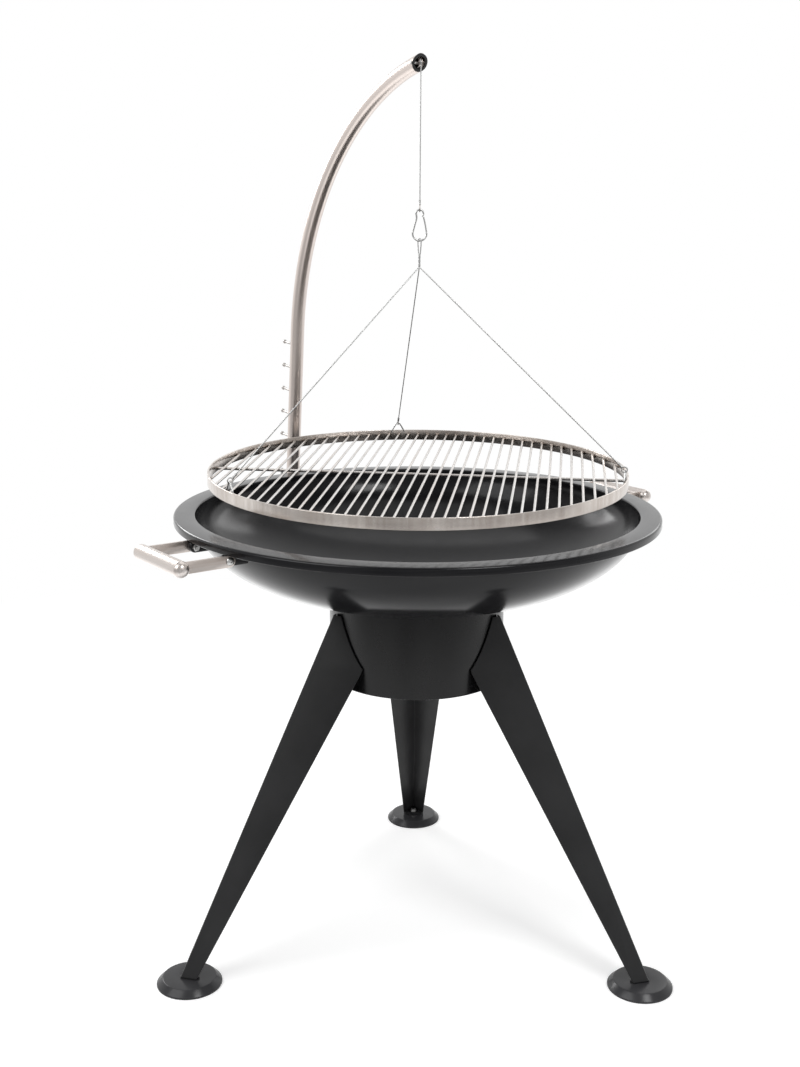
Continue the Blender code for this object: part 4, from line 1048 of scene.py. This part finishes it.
def make_suspension():
    """The loop in the hook with its sleeve."""
    inside = HOOK_TOP_Z - HOOK_TOP_BEND_R - HOOK_BEND_SPACING - HOOK_LOW_BEND_R
    centre = inside + GAP + LOOP_WIRE_R + LOOP_SEAT - JUNCTION_Z - LOOP_BEND_R
    neck = SLEEVE_LENGTH - WELD_DEPTH
    side = [(0.0011, neck), (0.0026, neck + 0.006), (0.0038, centre - LOOP_BEND_R)]
    loop = stranded(looped(side, arc((0, centre), LOOP_BEND_R, 0, 180, 10), 6, 0.0006), LOOP_WIRE_R)
    sleeve = lathe(crimped(SLEEVE_SHOWN * SLEEVE_R, 0, SLEEVE_LENGTH), 36)
    place = GRILL @ shift(z=JUNCTION_Z) @ turn(LOOP_TURN, "Z")
    pieces = joined([(sleeve, Matrix()), (loop, Matrix())])
    dress("loop_and_sleeve", pieces, "suspension_loop", place, "wire_ends")


def make_wires():
    junction = GRILL @ shift(z=JUNCTION_Z)
    level = shift(z=HOOP_TOP_Z - JUNCTION_Z) @ turn(GRATE_TILT, "X")
    for index, azimuth in enumerate(WIRE_AZIMUTHS, 1):
        spoke = turn(azimuth, "Z")
        apex = level @ spoke @ Vector((HOOP_CLEAR_R - BAIL_WIRE_R, 0, BAIL_RISE))
        start = spoke @ Vector((WIRE_START_R, 0, -GAP - WIRE_START_DROP))
        along = (start - apex).normalized()
        eye = apex + along * (WIRE_EYE_R - CABLE_R - BAIL_WIRE_R - GAP)
        across = spoke.to_3x3() @ Vector((0, 1, 0))
        across = (across - along * across.dot(along)).normalized()
        place = Matrix((across.cross(along), across, along)).transposed().to_4x4()
        place.translation = eye
        neck = WIRE_EYE_R + WELD_DEPTH
        ring = [(x, 0, z) for x, z in arc((0, 0), WIRE_EYE_R, 118, 422, 30)]
        ring = evened(spline([(-WIRE_NECK, 0, neck)] + ring + [(WIRE_NECK, 0, neck)], 3), 0.0006)
        high = WIRE_EYE_R + WIRE_FERRULE_LENGTH
        foot = high - WELD_DEPTH
        rise = (start - eye).length - foot
        stem = [(0, 0, foot + rise * step / WIRE_STEPS) for step in range(WIRE_STEPS + 1)]
        crimp = lathe(crimped(WIRE_FERRULE_R, WIRE_EYE_R, high), 32)
        parts = [(mesh, Matrix()) for mesh in (stranded(ring, CABLE_R), crimp, stranded(stem, CABLE_R))]
        name = "stranded_wire_%d" % index
        dress(name, joined(parts), "grate_wire_%d" % index, junction @ place, "wire_ends")


def make_grate():
    inner = HOOP_R - HOOP_T
    corners = [(inner, 0, HOOP_EDGE), (HOOP_R, 0, HOOP_EDGE)]
    corners += [(HOOP_R, -HOOP_H, HOOP_EDGE), (inner, -HOOP_H, HOOP_EDGE)]
    dress("hoop_band", lathe(rounded(corners, 3), 240, ring=True), "grate_hoop", GRATE)
    dress("welded_rods", rods_mesh(), "grate_rods", GRATE @ turn(ROD_AZIMUTH, "Z"), "rods")
    half = BAIL_WIDTH / 2
    side = [(half, -BAIL_LEG), (half, -BAIL_LEG / 2)]
    side += [(half * y, BAIL_RISE * z) for y, z in BAIL_SHAPE]
    bail = tube(looped(side, [(0, BAIL_RISE)], 4, 0.0008), BAIL_WIRE_R, 20)
    for index, azimuth in enumerate(WIRE_AZIMUTHS, 1):
        place = GRATE @ turn(azimuth, "Z") @ shift(x=HOOP_CLEAR_R - BAIL_WIRE_R)
        dress("bent_bail_%d" % index, bail, "grate_bail_%d" % index, place, "hook")


def rods_mesh():
    """Parallel rods along X on one cross bar under them, with a weld bead at each end."""
    count = int((HOOP_CLEAR_R - ROD_R) / ROD_PITCH)
    bead = lathe([(x * WELD_R, z * WELD_R * WELD_RISE) for x, z in arc((0, 0), 1, 90, -90, 8)], 16)
    parts = []
    for index in range(-count, count + 1):
        y = index * ROD_PITCH
        half = sqrt(HOOP_CLEAR_R ** 2 - (abs(y) + ROD_R) ** 2)
        parts.append((rod(ROD_R, -half, half, 16), shift(y=y, z=-ROD_DROP) @ turn(90, "Y")))
        for x in (-half, half):
            tilt = degrees(atan2(y, x))
            parts.append((bead, shift(x=x, y=y, z=-ROD_DROP) @ turn(tilt, "Z") @ turn(90, "Y")))
    half = sqrt(HOOP_CLEAR_R ** 2 - CROSS_BAR_R ** 2)
    bar_z = -ROD_DROP - ROD_R - CROSS_BAR_R + WELD_DEPTH
    parts.append((rod(CROSS_BAR_R, -half, half, 20), shift(z=bar_z) @ turn(90, "X")))
    return joined(parts)


# Handles


def make_handles():
    half = STRAP_H / 2
    seat = GRIP_R + GAP
    seat_angle = degrees(asin(half / seat))
    outline = arc((0, 0), half, 90, 270, 24)
    outline += arc((HANDLE_REACH, 0), seat, 180 + seat_angle, 180 - seat_angle, 16)
    bore = rod(PIVOT_BOLT_R + GAP, -STRAP_T, STRAP_T, 32)
    strap = combined(plate(outline, STRAP_T, 0.0005), ("DIFFERENCE", bore, turn(90, "X")))

    dome_z = GRIP_LENGTH / 2 - GRIP_DOME
    upper = [(x * GRIP_R, dome_z + z * GRIP_DOME) for x, z in arc((0, 0), 1, 90, 0, 14)]
    grip = lathe(upper + [(radius, -z) for radius, z in upper[::-1]], 96)

    outer = STRAP_Y + STRAP_T / 2
    lug_y = STRAP_Y - STRAP_T / 2 - GAP - LUG_T / 2
    nut_y = lug_y - LUG_T / 2 - GAP - PIVOT_NUT_H
    shank = outer + GAP - nut_y + PIVOT_BOLT_TAIL
    outline = [(x * PIVOT_HEAD_R, z * PIVOT_HEAD_H) for x, z in arc((0, 0), 1, 90, 12, 10)]
    outline += [(PIVOT_HEAD_R, 0.0004), (PIVOT_HEAD_R, 0), (PIVOT_BOLT_R, 0), (PIVOT_BOLT_R, -shank)]
    key = rod(KEY_SOCKET_R, PIVOT_HEAD_H * 0.4, PIVOT_HEAD_H * 2, 6)
    bolt = combined(lathe(outline + [(0, -shank)], 48), ("DIFFERENCE", key))
    nut = hex_nut(PIVOT_NUT_AF_R, PIVOT_NUT_H, PIVOT_BOLT_R + GAP)
    for side, azimuth in HANDLE_AZIMUTHS.items():
        pivot = GRILL @ turn(azimuth, "Z") @ shift(x=HANDLE_PIVOT_R, z=HANDLE_PIVOT_Z)
        place = pivot @ shift(x=HANDLE_REACH) @ turn(90, "X")
        dress("round_grip_" + side, grip, "handle_grip_" + side, place)
        for end, sign in (("a", 1), ("b", -1)):
            label = side + "_" + end
            place = pivot @ shift(y=sign * STRAP_Y)
            dress("flat_strap_" + label, strap, "handle_strap_" + label, place, "straps")
            lug, place = lug_mesh(azimuth, sign * lug_y)
            dress("pivot_lug_" + label, lug, "handle_lug_" + label, place)
            outward = turn(-90 * sign, "X")
            place = pivot @ shift(y=sign * (outer + GAP)) @ outward
            dress("domed_bolt_" + label, bolt, "handle_bolt_" + label, place)
            place = pivot @ shift(y=sign * nut_y) @ outward
            dress("pivot_nut_" + label, nut, "handle_nut_" + label, place)


def lug_mesh(azimuth, offset):
    """A lug in XZ, rounded about the pivot and cut to the bowl's wall."""
    outline = [(-LUG_ROOT, LUG_R), (-LUG_ROOT, -LUG_R)] + arc((0, 0), LUG_R, -90, 90, 20)
    bore = rod(PIVOT_BOLT_R + GAP, -LUG_T, LUG_T, 32)
    spoke = turn(azimuth, "Z") @ shift(x=HANDLE_PIVOT_R, y=offset, z=HANDLE_PIVOT_Z)
    tools = [("DIFFERENCE", bowl_clearance(), spoke.inverted()), ("DIFFERENCE", bore, turn(90, "X"))]
    return combined(plate(outline, LUG_T, 0.0007), *tools), GRILL @ spoke


# Camera, floor and light


def ray_kinds(tree):
    """The kinds of ray, and whether a ray is one through which the background is seen."""
    rays = new_node(tree, "LightPath").outputs
    return rays, calculated(tree, "MAXIMUM", rays["Is Camera Ray"], rays["Is Transmission Ray"])


def patched(tree, place, scale):
    """Soft patches of light for reflections."""
    return ranged(tree, noise(tree, place, scale, detail=1.0), 0.36, 0.64, PATCH_LOW, PATCH_HIGH)


def make_camera():
    data = bpy.data.cameras.new("photo_camera")
    data.sensor_width = SENSOR
    data.lens = FOCAL_PIXELS * SENSOR / IMAGE_HEIGHT
    data.clip_start, data.clip_end = CLIP
    forward = Vector((sin(YAW) * cos(PITCH), cos(YAW) * cos(PITCH), -sin(PITCH)))
    right = Vector((cos(YAW), -sin(YAW), 0))
    down = forward.cross(right)
    across = cos(ROLL) * right + sin(ROLL) * down
    lower = cos(ROLL) * down - sin(ROLL) * right
    place = Matrix((across, -lower, -forward)).transposed().to_4x4()
    place.translation = CAMERA_PLACE
    scene.camera = placed("photo_camera", data, place)


def make_floor():
    """A wide white floor that keeps the grill's shadow near it and fades to plain white."""
    bm = bmesh.new()
    bmesh.ops.create_circle(bm, cap_ends=True, radius=FLOOR_R, segments=96)
    floor = placed("studio_floor", finished(bm))
    made, tree, shader = new_material("floor_white")
    tree.nodes.remove(shader)
    place = coordinates(tree)
    reach = distance(tree, place)
    rays, clear = ray_kinds(tree)
    seen = calculated(tree, "MAXIMUM", clear, rays["Is Glossy Ray"])
    far = ranged(tree, reach, 0.9, 2.4)
    unlit = calculated(tree, "MULTIPLY", seen, far)
    diffuse = output(tree, "BsdfDiffuse", Color=mixed(tree, unlit, FLOOR_WHITE, (0, 0, 0)))
    lift = ranged(tree, far, 0.0, 1.0, FLOOR_LIFT, 1.0)
    depth = new_node(tree, "SeparateXYZ", Vector=place).outputs["Y"]
    near = ranged(tree, reach, 0.35, 1.1, 0.10, 1.0)
    level = ranged(tree, depth, -1.4, 1.0, patched(tree, place, 0.75), BACK_LIGHT)
    dimmed = calculated(tree, "MULTIPLY", near, level)
    plain = calculated(tree, "MULTIPLY", clear, lift)
    mirrored = calculated(tree, "MULTIPLY", rays["Is Glossy Ray"], dimmed)
    emission = output(tree, "Emission", Strength=calculated(tree, "MAXIMUM", plain, mirrored))
    total = output(tree, "AddShader", diffuse, emission)
    fed(tree, tree.nodes["Material Output"], Surface=total)
    floor.data.materials.append(made)


def make_world():
    """White where it is seen, dimmer in front of the grill for reflections, and soft as light."""
    world = bpy.data.worlds.new("studio")
    scene.world = world
    world.use_nodes = True
    tree = world.node_tree
    tree.nodes.clear()
    rays, clear = ray_kinds(tree)
    way = coordinates(tree, "Generated")
    parts = new_node(tree, "SeparateXYZ", Vector=way).outputs
    level = ranged(tree, parts["Z"], 0.45, 0.85, 1.0, TOP_DIM)
    depth = ranged(tree, parts["Y"], -0.2, 0.4, patched(tree, way, 1.9), BACK_LIGHT)
    mirrored, soft, white = [
        output(tree, "Background", Color=(1, 1, 1, 1), Strength=strength)
        for strength in (calculated(tree, "MULTIPLY", depth, level), WORLD_LIGHT, 1.0)
    ]
    lit = output(tree, "MixShader", rays["Is Glossy Ray"], soft, mirrored)
    shown = output(tree, "MixShader", clear, lit, white)
    new_node(tree, "OutputWorld", Surface=shown)


def make_lamps():
    for name, (place, aim, size, power) in LAMPS.items():
        data = bpy.data.lights.new(name, "AREA")
        data.shape = "SQUARE"
        data.size = size
        data.energy = power
        lamp = placed(name, data)
        lamp.visible_camera = False
        lamp.location = place
        lamp.rotation_euler = (Vector((0, 0, aim)) - Vector(place)).to_track_quat("-Z", "Y").to_euler()


make_camera()
make_floor()
make_world()
make_lamps()
scene.view_settings.view_transform = "Standard"

make_bowl()
make_legs()
make_socket()
make_arm()
make_lift_cable()
make_cable()
make_hook()
make_suspension()
make_wires()
make_grate()
make_handles()
